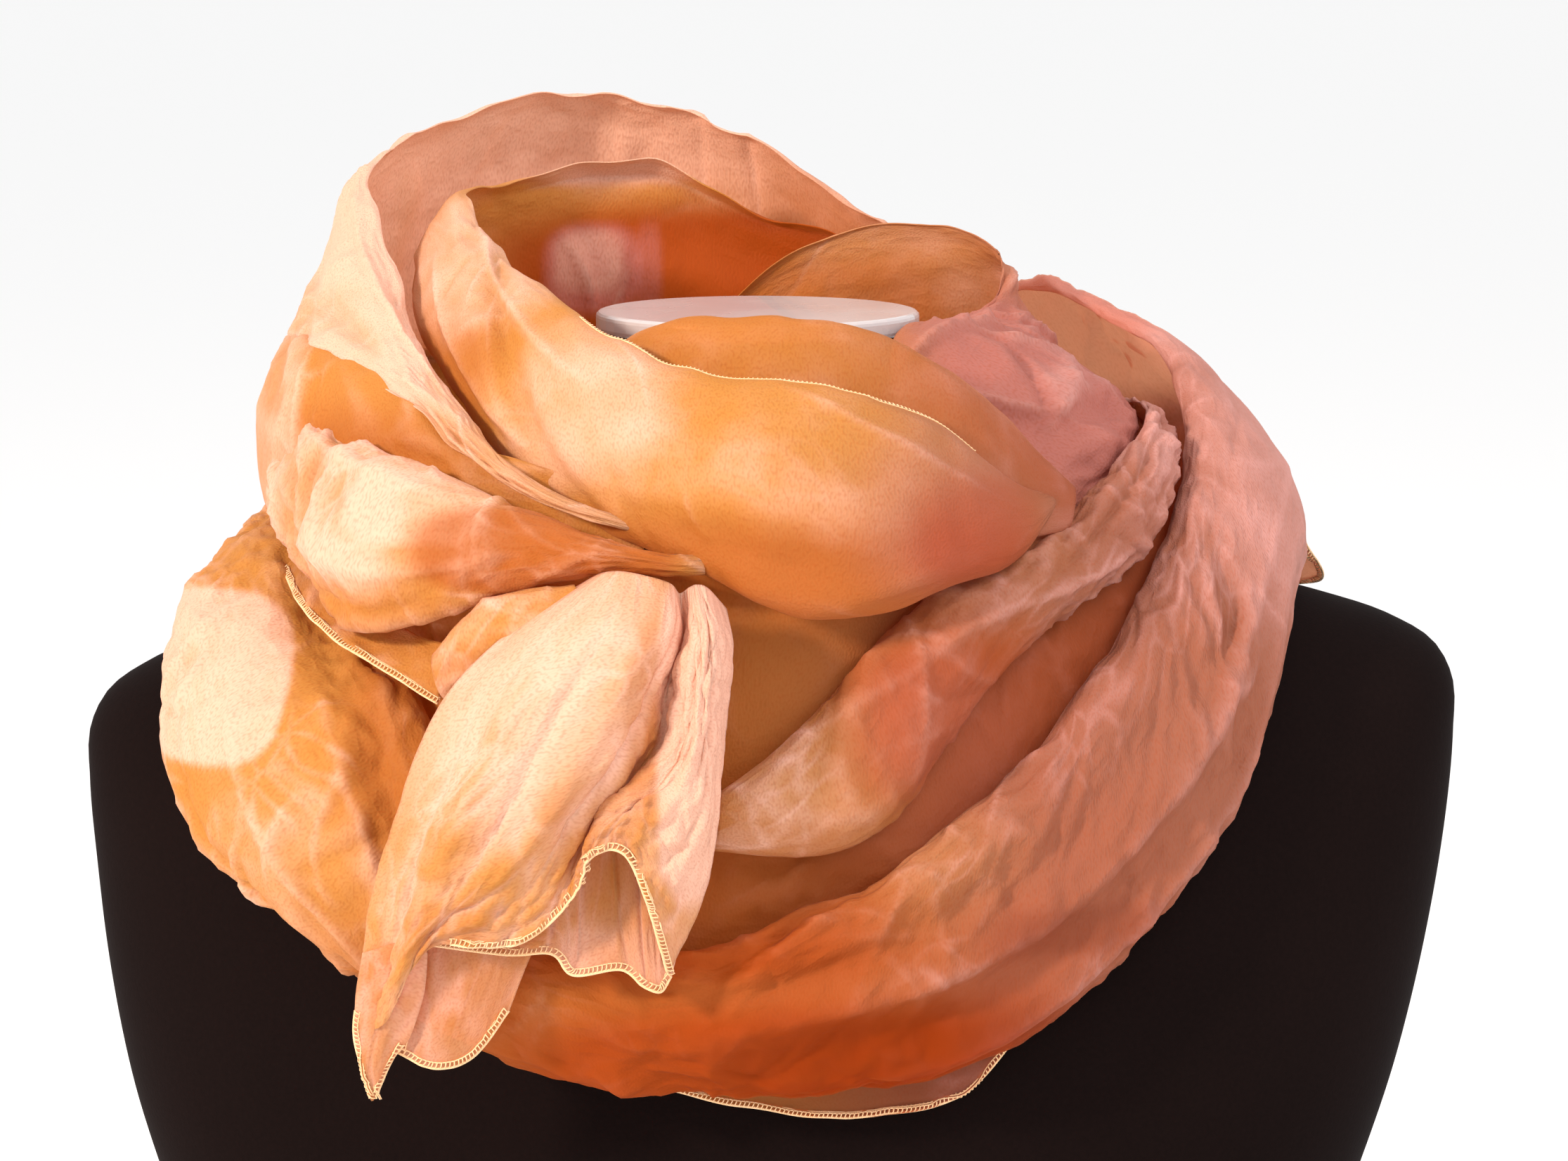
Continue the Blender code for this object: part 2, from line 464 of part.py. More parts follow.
def ringed(rings):
    """A closed solid through rings of points, with a flat fan at each end."""
    rings = np.array(rings)
    levels, count = rings.shape[0], rings.shape[1]
    number = np.arange(levels * count).reshape(levels, count)
    ahead = np.roll(number, -1, axis=1)
    faces = [tuple(int(i) for i in quad) for quad in
             np.stack((number[:-1], ahead[:-1], ahead[1:], number[1:]), -1).reshape(-1, 4)]
    faces.append(tuple(int(i) for i in number[0, ::-1]))
    faces.append(tuple(int(i) for i in number[-1]))
    return rings.reshape(-1, 3), faces


def form_body():
    """The bust form: rounded outlines from the base up to the neck, the shoulders tilted a little."""
    rings = []
    for height, half_width, half_depth, shift, power, drop in FORM_ROWS:
        across, deep = superellipse(half_width, half_depth, power, FORM_POINTS)
        level = np.full(FORM_POINTS, height) + drop * SHOULDER_TILT * across
        rings.append(np.stack((across + drop * SHOULDER_SHIFT, deep + shift, level), -1))
    return ringed(rings)


def neck_cap():
    """The disc that closes the neck: a round plate with a rounded rim above and below."""
    profile = [(CAP_RADIUS - CAP_ROUND, -CAP_DEPTH)]
    for step in range(1, CAP_ARC_STEPS + 1):
        turn = math.pi / 2.0 * step / CAP_ARC_STEPS
        profile.append((CAP_RADIUS - CAP_ROUND + CAP_ROUND * math.sin(turn),
                        -CAP_DEPTH + CAP_ROUND - CAP_ROUND * math.cos(turn)))
    for step in range(CAP_ARC_STEPS + 1):
        turn = math.pi / 2.0 * step / CAP_ARC_STEPS
        profile.append((CAP_RADIUS - CAP_ROUND + CAP_ROUND * math.cos(turn),
                        -CAP_ROUND + CAP_ROUND * math.sin(turn)))
    rings = []
    for radius, height in profile:
        across, deep = superellipse(radius, radius, 2.0, CAP_POINTS)
        rings.append(np.stack((across, deep, np.full(CAP_POINTS, height)), -1))
    return ringed(rings)


def material(name, colour, roughness):
    """One plain Principled material."""
    shader = bpy.data.materials.new(name)
    shader.use_nodes = True
    principled = shader.node_tree.nodes["Principled BSDF"]
    principled.inputs["Base Color"].default_value = (*colour, 1.0)
    principled.inputs["Roughness"].default_value = roughness
    shader.diffuse_color = (*colour, 1.0)
    return shader


def solid(name, vertices, faces, shader):
    """One named object in metres, standing on z = 0."""
    places = np.array(vertices, dtype=float)
    places[:, 2] += CAP_LIFT
    mesh = bpy.data.meshes.new(name)
    mesh.from_pydata((places * MILLIMETRE).tolist(), [], [tuple(int(i) for i in f) for f in faces])
    mesh.update()
    work = bmesh.new()
    work.from_mesh(mesh)
    bmesh.ops.triangulate(work, faces=work.faces)
    bmesh.ops.recalc_face_normals(work, faces=work.faces)
    work.to_mesh(mesh)
    work.free()
    mesh.materials.append(shader)
    thing = bpy.data.objects.new(name, mesh)
    bpy.context.scene.collection.objects.link(thing)
    return thing


def build():
    """Every node of the part."""
    for thing in list(bpy.data.objects):
        bpy.data.objects.remove(thing, do_unlink=True)
    solid("form_body", *form_body(), material("form_jersey", JERSEY_BLACK, JERSEY_ROUGHNESS))
    solid("neck_cap", *neck_cap(), material("form_cap", CAP_WHITE, CAP_ROUGHNESS))
    for row in CLOTH:
        name, winding, first, last, curl_a, curl_b, depth, cells_u, cells_v, colour = row[:10]
        points = sheet(name, winding, first, last, curl_a, curl_b, depth, cells_u, cells_v, *row[10:])
        solid(name, *walled(points), material("cloth_" + name, colour, CLOTH_ROUGHNESS))


build()
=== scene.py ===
"""Looks of an organza scarf wound round the neck of a countertop bust form.

Every stretch of cloth is a thin shell worked out from a table of stations in millimetres, measured
from the centre of the cap that closes the neck.  The front faces -Y and the base stands on z = 0.
"""

import math

import bpy
import numpy as np
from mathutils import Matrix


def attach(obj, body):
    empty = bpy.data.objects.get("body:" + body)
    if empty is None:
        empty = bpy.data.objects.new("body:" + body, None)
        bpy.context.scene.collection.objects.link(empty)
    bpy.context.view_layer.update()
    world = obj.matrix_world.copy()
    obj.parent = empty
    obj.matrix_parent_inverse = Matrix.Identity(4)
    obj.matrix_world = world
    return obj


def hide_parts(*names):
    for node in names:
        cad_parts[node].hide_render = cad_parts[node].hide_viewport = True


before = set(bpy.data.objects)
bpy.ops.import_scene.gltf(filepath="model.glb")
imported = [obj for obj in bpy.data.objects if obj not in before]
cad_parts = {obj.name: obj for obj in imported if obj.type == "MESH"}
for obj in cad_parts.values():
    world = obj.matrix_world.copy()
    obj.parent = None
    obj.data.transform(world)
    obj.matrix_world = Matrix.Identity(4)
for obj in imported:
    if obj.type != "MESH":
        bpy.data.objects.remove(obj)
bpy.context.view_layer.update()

# Lengths are in millimetres unless a line says otherwise.
MILLIMETRE = 0.001
SQUARE_DECIMETRE = 1e4
CAP_LIFT = 400.0  # how high the centre of the cap stands over the floor
TINY = 1e-9

# The grid of the cloth, and how it dies out towards its edges and ends.
CELL = 1.4
NET_CELL = 1.0
NET_SLACK = 1.15  # nets are a little longer along their curves than from point to point
SHELL = 0.4
SHORT_STEP = 1.0
RING_OVERLAP = 3
EDGE_POWER = 3
EDGE_BAND = 0.14  # share of the way across that counts as the edge
END_FADE = 8.0
RIM_CALM = 0.12
RIM_LEAST = 0.35

# Material: how many wrinkles per square decimetre count as fully crinkled, and the cover from which
# on a stretch is closed.
FULLY_CRINKLED = 50.0
CLOSED_COVER = 0.8

# The camera, in metres and millimetres of lens.
CAMERA_PLACE = (0.008, -1.2840, 0.5204)
CAMERA_AIM = (0.008, 0.0, 0.317)
CAMERA_LENS = 97.56
SENSOR = 36.0

# ---------------------------------------------------------------- the form
# z, half width, half depth, front-back shift, squareness of the outline, sideways drop factor
FORM_ROWS = (
    (-400, 150, 98, 0, 2.3, 0),
    (-396, 152, 100, 0, 2.3, 0),
    (-340, 162, 101, 0, 2.3, 0),
    (-280, 180, 101, -1, 2.4, 0.2),
    (-230, 195, 99, -1, 2.5, 0.5),
    (-190, 203, 95, 0, 2.5, 0.8),
    (-160, 207, 88, 1, 2.5, 1),
    (-135, 209, 79, 2, 2.5, 1),
    (-120, 209, 70, 3, 2.4, 1),
    (-110, 204, 62, 4, 2.3, 1),
    (-102, 192, 56, 4, 2.2, 1),
    (-94, 171, 52, 4, 2.1, 1),
    (-86, 142, 50, 4, 2, 1),
    (-76, 108, 49, 4, 2, 1),
    (-66, 82, 48, 4, 2, 1),
    (-54, 63, 47, 3, 2, 1),
    (-40, 53, 46, 2, 2, 0.6),
    (-24, 49, 46, 1, 2, 0.2),
    (-6.3, 47.5, 46.5, 0, 2, 0),
)

# Columns of every station table: ax ay az = upper or inner edge, bx by bz = lower or outer edge,
# bulge = how far the sheet swells out between the two edges.  Stations run anticlockwise seen from
# above on every winding, and downwards on the hanging end.
OUTER_RING = (
    (-146, 60, -65, -158, 62, -97, 8),
    (-142, 20, -66, -167, 18, -98.3, 11),
    (-134, -18, -69, -172, -26, -94.5, 12),
    (-124, -48, -82, -173, -60, -103, 12),
    (-112, -72, -91, -167, -85, -131, 16),
    (-100, -92, -99, -152, -102, -150, 18),
    (-90, -107, -114, -136, -112, -161, 16),
    (-84, -118, -134, -113, -118, -175, 14),
    (-77, -124, -156, -93, -120, -190, 12),
    (-68, -126, -160, -73, -120, -200, 11),
    (-48, -127, -163, -48, -118, -207, 12),
    (-20, -127, -169, -17, -116, -211, 13),
    (22, -121, -155, 16, -115, -213, 14),
    (59, -107, -134, 53, -112, -208, 15),
    (82, -92, -116, 84, -104, -194, 16),
    (103, -71, -92, 113, -92, -170, 16),
    (118, -46, -70, 136, -75.5, -142, 15.5),
    (127, -18, -49, 151, -58.7, -112, 14),
    (130, 10, -29, 162, -20, -82, 13),
    (124, 40, -13, 168, 34, -79, 12),
    (108, 67, -6, 155, 76, -76, 13),
    (86, 92, 0, 126, 107, -80, 14),
    (60, 117, -24, 84, 125, -92, 13),
    (26, 131, -62, 38, 131, -106, 11),
    (-8, 133, -67, -6, 132, -114, 10),
    (-46, 130, -69, -50, 130, -116, 10),
    (-88, 116, -65, -95, 119, -112, 9),
    (-124, 92, -61, -134, 96, -102, 8),
)
MIDDLE_WINDING = (
    (-10, -121, -124, -12, -122, -140, 5),
    (1, -120, -116, 6, -121, -142, 7),
    (15, -116, -104, 25, -117, -141, 10),
    (27, -111, -91, 42, -109, -131, 12),
    (40, -104, -79, 54, -101, -113, 12),
    (62, -88, -64, 73, -87, -92, 11),
    (86, -65, -56, 94, -68, -78, 9),
    (107, -36, -41, 116, -40, -63, 7),
    (118, -8, -31, 124, -10, -48, 5),
    (117, 24, -30, 121, 25, -48, 4),
    (103, 60, -35, 108, 62, -57, 5),
    (69, 88, -36, 74, 95, -68, 7),
    (28, 108, -33, 30, 118, -76, 8),
    (-20, 118, -29, -20, 126, -77, 9),
    (-69, 107, -25, -75, 116, -75, 9),
    (-109, 78, -20, -119, 87, -70, 8),
    (-135, 42, -22, -143, 44, -64, 5),
    (-143, 6, -27, -145, 4, -59, 3),
    (-134, -28, -31, -140, -36, -62, 6),
    (-119, -56, -33, -127, -70, -75, 12),
    (-99, -79, -36, -113, -97, -81, 15),
    (-79, -96, -42, -92, -112, -76, 14),
    (-56, -110, -49, -66, -119, -66, 9),
    (-36, -119, -55, -40, -123, -62, 5),
    (-22, -121, -57, -22, -124, -62, 2.5),
    (-8, -108, -58, -8, -111, -63, 2),
)
COLLAR_WINDING = (
    (80, 80, -4, 84, 78, -28, 4),
    (60, 97, 9, 67, 99, -32, 7),
    (34, 107, 21, 40, 116, -38, 12),
    (12, 113, 37, 12, 124, -38, 15),
    (-18, 117, 52, -20, 130, -35, 15),
    (-54, 115, 60, -58, 125, -31, 14),
    (-86, 98, 57, -94, 105, -27, 12),
    (-111, 70, 47, -123, 74, -21, 9),
    (-121, 40, 38, -137, 38, -13, 7),
    (-117, 20, 26, -140, 14, -12, 8),
    (-110, -4, 12, -132, -12, -11, 8),
    (-99, -34, -6, -117, -40, -14, 6),
    (-87.2, -60.6, -21, -98, -65, -22, 4),
    (-72, -86, -34, -80, -88, -36, 3),
    (-54, -103, -43, -57, -106, -46, 2),
    (-39.2, -108.2, -47.6, -40.2, -110.7, -50.2, 1.5),
    (-24, -106, -52, -25, -108, -54, 1),
)
INNER_WINDING = (
    (52, 84, 2, 50, 76, -36, 5),
    (26, 89, 15, 24, 83, -40, 7),
    (-4, 93, 24, -4, 86, -40, 9),
    (-28, 92, 37, -30, 84, -38, 10),
    (-57, 83, 39, -60, 76, -34, 10),
    (-80, 68, 35, -88, 62, -22, 9),
    (-91, 45, 33, -102, 44, 0, 7),
    (-84, 16, 23, -103, 6, -2, 8),
    (-76, -8, 15, -96, -26, -12, 10),
    (-66, -30, 10, -83, -54, -27, 12),
    (-52, -52, 4, -65, -81, -42, 13),
    (-34, -72, -5, -42, -104, -51, 14),
    (-14, -84, -11, -18, -116, -60, 14),
    (8, -88, -12, 4, -123, -70, 15),
    (32, -87, -17, 28, -122, -74, 15),
    (54, -83, -29, 52, -111, -68, 12),
    (72, -77, -43, 74, -92, -62, 7),
    (86, -66, -48, 86, -69, -51, 2),
)
RIGHT_INNER_WINDING = (
    (50, -64, -50, 90, -68, -78, 3),
    (40, -49, -18, 93, -49, -57, 5),
    (41, -34, -5, 108, -28.3, -47, 9),
    (54, -4, -4, 115, -5, -37, 9),
    (60, 20, -5, 113.5, 22, -34, 8),
    (74, 41, 1, 101, 46, -34, 5),
    (76, 55, 12, 82, 60, -34, 5),
    (64, 66, 19, 64, 66, -38, 5),
    (44, 74, 21, 42, 69, -40, 5),
    (24, 77, 17, 20, 71, -42, 5),
    (4, 78, 7, 0, 73, -44, 5),
    (-12, 77, -8, -14, 73, -44, 4),
)
LOWER_HEM_FLAP = (
    (-32, -107.5, -190, -30, -108.5, -212, 0.5),
    (0, -107.5, -190, 2, -108.5, -219, 1),
    (34, -106.5, -188, 36, -108, -221, 1),
    (58, -102.5, -184, 62, -103.5, -214, 1),
    (70, -98, -180, 74, -99.5, -201, 0.5),
)
LEFT_POCKET = (
    (-134, 62, -14, -142, 62, -58, 8),
    (-139, 36, -10, -145, 34, -60, 9),
    (-140, 12, -9, -146, 8, -62, 10),
    (-133, -13, -8, -142, -20, -62, 9),
    (-118, -40, -12, -128, -46, -56, 5),
    (-98, -62, -20, -105, -69, -54, 3),
    (-78, -82, -31, -82, -88, -60, 2),
    (-52, -93, -38, -56, -98, -68, 2),
    (-30, -101, -44, -32, -104, -74, 2),
)
LEFT_INNER_LAYER = (
    (-130, -40, -60, -134, -38, -88, 2),
    (-116, -66, -64, -114, -62, -102, 2),
    (-98, -86, -66, -98, -82, -116, 2),
    (-80, -98, -66, -84, -98, -134, 2),
    (-60, -106, -64, -68, -108, -150, 2),
    (-36, -108, -62, -44, -112, -156, 2),
)
LEFT_HEM_STRIP = (
    (-131, -28, -66.5, -140, -43, -73.2, 1),
    (-121, -58, -73, -130, -73, -81, 1),
    (-108, -82, -80, -118, -91, -87, 1),
    (-96, -97, -83, -104, -104, -93, 1),
    (-84, -107, -85, -89, -114, -100, 1),
)
COWL_FLAP = (
    (-46, -52, -10, -44, -62, -26, 3),
    (-30, -60, 0, -28, -71, -28, 6),
    (-8, -69, 5, -6, -82, -30, 7),
    (16, -71, 4, 16, -84, -32, 7),
    (38, -69, -2, 38, -83, -40, 8),
    (58, -66, -14, 56, -83, -42, 7),
    (72, -63, -27, 66, -84, -48, 5),
    (84, -62, -38, 76, -82, -57, 3),
    (92, -60, -46, 90, -70, -57, 2),
)
RIGHT_CAVITY = (
    (-22, -110, -134, -24, -116, -176, 2),
    (8, -109, -134, 8, -113, -170, 2),
    (33, -101, -124, 40, -107, -156, 2),
    (54, -88, -98, 71, -94, -142, 2),
    (74, -69, -76, 98, -74, -118, 2),
    (94, -46, -58, 119, -49, -94, 2),
    (108, -18, -42, 131, -19, -72, 2),
    (112, 12, -36, 136, 12, -56, 2),
    (112, 40, -34, 132, 44, -48, 2),
)
CENTRE_PANEL = (
    (-30, -96, -60, -34, -108, -128, 3),
    (-6, -100, -62, -8, -110, -126, 3),
    (18, -99.5, -64, 12, -109, -118, 3),
    (42, -90, -64, 38, -99, -100, 3),
    (66, -74, -58, 62, -84, -88, 3),
)
TAIL_KNOT = (
    (-89, -117, -85, -86, -123, -97, 4),
    (-80, -117.5, -74.4, -76, -127, -89, 5),
    (-66, -120, -67.4, -60, -129, -77, 3),
    (-50, -123, -64.8, -47, -127, -69, 1),
)
# Nets: every entry is a point x y z.  Rows of the hanging end run down from the knot to the hem, its
# columns from left to right.
TAIL_FRONT = (
    ((-48, -118, -65), (-42, -126, -61), (-35, -131, -60), (-24, -130, -63), (-21, -124, -67),
     (-18, -126, -65), (-16, -128, -64), (-13, -128, -65), (-8, -120, -72)),
    ((-70, -128, -79), (-58, -138, -74), (-41, -146, -71), (-23, -143, -73), (-20, -132, -78),
     (-17, -140, -74), (-14, -143, -73), (-10, -142, -75), (-6, -132, -82)),
    ((-85, -134, -94), (-71, -146, -90), (-51, -154, -85), (-30, -151, -87), (-24, -138, -92),
     (-19, -145, -88), (-15, -149, -88), (-11, -148, -90), (-7, -136, -96)),
    ((-94, -138, -112), (-79, -150, -108), (-60, -157, -102), (-36, -153, -100), (-28, -140, -106),
     (-22, -147, -103), (-17, -151, -103), (-12, -150, -105), (-9, -138, -112)),
    ((-100, -140, -130), (-87, -152, -125), (-67, -158, -119), (-43, -154, -114), (-35, -142, -117),
     (-29, -149, -114), (-22, -152, -115), (-14, -151, -121), (-10, -140, -128)),
    ((-105, -142, -146), (-93, -152, -142), (-75, -157, -137), (-53, -154, -130), (-44, -144, -127),
     (-37, -151, -121), (-28, -153, -121), (-19, -152, -133), (-13, -141, -144)),
    ((-108, -143, -164), (-98, -151, -162), (-83, -155, -152), (-62, -153, -148), (-49, -148, -140),
     (-42, -152, -128), (-33, -153, -127), (-25, -152, -140), (-18, -142, -158)),
    ((-110, -143, -183), (-102, -149, -183), (-89, -153, -161), (-66, -153, -160), (-51, -151, -149),
     (-45, -152, -136), (-36, -153, -134), (-30, -151, -147), (-24, -143, -171)),
)
TAIL_MOUTH = (
    ((-88, -144, -146), (-68, -143, -142), (-57, -143, -134), (-50, -142, -126), (-41, -141, -118),
     (-33, -141, -118), (-25, -141, -124), (-17, -139, -132)),
    ((-88, -145, -153), (-68, -144, -150), (-56, -143, -146), (-49, -141, -143), (-40, -138, -138),
     (-33, -139, -140), (-26, -140, -144), (-19, -140, -148)),
    ((-89, -147, -158), (-68, -146, -158), (-55, -144, -157), (-49, -143, -159), (-39, -139, -156),
     (-32, -141, -158), (-27, -142, -160), (-21, -141, -162)),
    ((-89, -148, -161), (-68, -147, -164), (-56, -146, -164), (-50, -146, -170), (-37, -144, -169),
     (-31, -146, -173), (-26, -145, -175), (-23, -143, -171)),
)
TAIL_LAP = (
    ((-91, -142, -150), (-80, -142, -150), (-70, -142, -150), (-56, -142, -152)),
    ((-93, -143, -166), (-82, -145, -164), (-71, -144, -164), (-61, -142, -163)),
    ((-96, -142, -181), (-85, -145, -182), (-74, -144, -179), (-65, -142, -173)),
    ((-99, -142, -193), (-89, -144, -197), (-78, -143, -194), (-68, -142, -181)),
)
TAIL_POINT = (
    ((-108, -144, -164), (-104, -148, -162), (-98, -149, -160), (-90, -146, -163)),
    ((-110, -144, -176), (-104, -148, -173), (-98, -149, -172), (-91, -146, -174)),
    ((-111, -144, -187), (-106, -147, -185), (-101, -148, -183), (-95, -145, -187)),
    ((-109, -143, -197), (-107, -145, -196), (-104, -146, -196), (-100, -144, -194)),
    ((-107, -142, -206), (-106.3, -142, -206.5), (-105.6, -142, -206), (-105, -142, -205)),
)
CORNER_TIP = (
    (150, 10, -50, 163, 14, -61, 0.5),
    (155, 22, -62, 170, 26, -74, 0.5),
    (158, 32, -76, 177.5, 36, -88, 0.5),
    (156, 44, -84, 169, 48, -92, 0.5),
)


# Columns of every crease table: where the crease starts and ends, as fractions across the sheet
# (a to b) and along it, how far its middle bows across the sheet, its half width and its height in
# millimetres (a trough has a minus height), and 1 where it is a crisp fold instead of a soft swell.
CREASES = {
    "outer_loop": (
        (0.24, 0.11, 0.36, 0.24, 0, 5, -3.5, 0),
        (0.50, 0.14, 0.75, 0.25, 0.02, 3, 2.2, 1),
        (0.70, 0.13, 0.88, 0.23, 0.02, 3, -2, 1),
        (0.30, 0.15, 0.55, 0.27, 0.02, 3, 2, 1),
        (0.20, 0.22, 0.60, 0.20, 0.02, 3, -2, 1),
        (0.45, 0.27, 0.80, 0.34, 0, 5, -2, 0),
        (0.28, 0.30, 0.40, 0.48, 0.03, 5.5, -5, 0),
        (0.44, 0.32, 0.55, 0.53, 0.03, 3, 3.2, 1),
        (0.58, 0.33, 0.62, 0.50, -0.03, 5, -4.5, 0),
        (0.72, 0.35, 0.76, 0.52, -0.02, 3, 3, 1),
        (0.84, 0.34, 0.80, 0.47, 0, 4, -3, 0),
        (0.30, 0.50, 0.36, 0.70, 0.02, 3.5, -2.5, 1),
        (0.55, 0.52, 0.62, 0.73, -0.03, 3, 2.5, 1),
        (0.75, 0.54, 0.70, 0.68, 0, 4, -2.2, 0),
        (0.30, 0.79, 0.45, 0.97, 0, 6, -2.5, 0),
        (0.66, 0.80, 0.72, 0.96, 0, 6, 2, 0),
    ),
    "middle_turn": (
        (0.20, 0.03, 0.45, 0.14, 0.05, 3, 2.2, 1),
        (0.30, 0.08, 0.75, 0.22, 0.05, 3.5, 2.6, 1),
        (0.85, 0.04, 0.55, 0.13, 0, 4, -2.6, 0),
        (0.55, 0.12, 0.30, 0.24, 0, 3.5, -2.4, 1),
        (0.30, 0.78, 0.80, 0.86, 0, 6, -2.5, 0),
        (0.48, 0.79, 0.62, 0.93, 0.06, 3, 3.2, 1),
        (0.70, 0.80, 0.78, 0.90, 0.02, 3, -2.4, 1),
        (0.20, 0.80, 0.34, 0.90, 0.02, 3, 2, 1),
        (0.84, 0.82, 0.88, 0.92, 0, 3, 2, 1),
    ),
    "upper_turn": (
        (0.30, 0.11, 0.70, 0.22, 0, 9, -3.5, 0),
        (0.25, 0.32, 0.72, 0.36, 0, 9, 3, 0),
        (0.30, 0.45, 0.66, 0.49, 0, 8, -3, 0),
        (0.12, 0.55, 0.35, 0.80, 0.03, 3, 2.2, 1),
        (0.45, 0.56, 0.62, 0.74, 0.03, 5, -3, 0),
        (0.80, 0.58, 0.85, 0.75, 0, 3, 2, 1),
    ),
    "inner_turn": (
        (0.10, 0.50, 0.88, 0.70, 0, 5, -4, 0),
        (0.06, 0.42, 0.40, 0.68, 0.05, 3, 2.4, 1),
        (0.45, 0.44, 0.70, 0.64, 0.05, 3.5, 2.2, 1),
        (0.45, 0.76, 0.75, 0.91, 0, 7, 3, 0),
        (0.72, 0.70, 0.62, 0.90, 0.05, 6, -3, 0),
        (0.20, 0.80, 0.45, 0.94, 0.03, 3, 1.8, 1),
        (0.12, 0.04, 0.20, 0.30, 0.02, 4, 3, 1),
        (0.42, 0.20, 0.70, 0.24, 0.05, 2.6, 3.2, 1),
        (0.36, 0.25, 0.66, 0.22, 0.05, 2.6, -3, 1),
        (0.50, 0.18, 0.62, 0.27, 0.08, 2.6, 2.6, 1),
        (0.70, 0.19, 0.52, 0.28, 0.08, 2.6, 2.4, 1),
        (0.40, 0.06, 0.45, 0.28, 0.03, 5, -3, 0),
    ),
    "right_inner": (
        (0.10, 0.10, 0.30, 0.42, 0.05, 3, 3, 1),
        (0.35, 0.06, 0.75, 0.34, 0.05, 4, -3.5, 0),
        (0.55, 0.08, 0.50, 0.40, 0.08, 3, 3, 1),
        (0.15, 0.46, 0.60, 0.56, 0.05, 2.5, 3, 1),
        (0.30, 0.16, 0.62, 0.24, 0.06, 2.4, 3, 1),
        (0.62, 0.14, 0.36, 0.30, 0.06, 2.4, -2.6, 1),
        (0.22, 0.28, 0.55, 0.38, 0.06, 2.4, 2.6, 1),
        (0.20, 0.62, 0.35, 0.92, 0.08, 4, -2.5, 0),
    ),
    "tail_front": (
        (0.10, 0.28, 0.08, 0.98, 0.02, 2.2, 1.6, 1),
        (0.17, 0.20, 0.15, 0.98, 0.02, 3, -2, 0),
        (0.26, 0.10, 0.21, 0.90, 0.03, 2.2, 2.2, 1),
        (0.33, 0.16, 0.28, 0.95, 0.02, 3, -2.2, 0),
        (0.40, 0.08, 0.36, 0.86, 0.03, 2.2, 2.4, 1),
        (0.45, 0.30, 0.42, 0.98, 0, 2.6, -1.6, 0),
        (0.58, 0.10, 0.60, 0.96, 0, 2.6, -1.8, 0),
        (0.68, 0.12, 0.68, 0.90, 0.02, 2, 1.8, 1),
        (0.76, 0.16, 0.77, 0.98, 0.02, 2.6, -1.8, 0),
        (0.86, 0.14, 0.86, 0.92, 0.02, 2, 1.6, 1),
    ),
    "tail_mouth": (
        (0.30, 0, 0.26, 1, 0, 1.6, 1.6, 1),
        (0.46, 0, 0.44, 1, 0, 1.6, 1.8, 1),
        (0.60, 0, 0.58, 1, 0, 1.6, -1.6, 1),
        (0.72, 0, 0.74, 1, 0, 1.6, 1.6, 1),
        (0.86, 0, 0.88, 1, 0, 1.6, -1.2, 1),
    ),
}

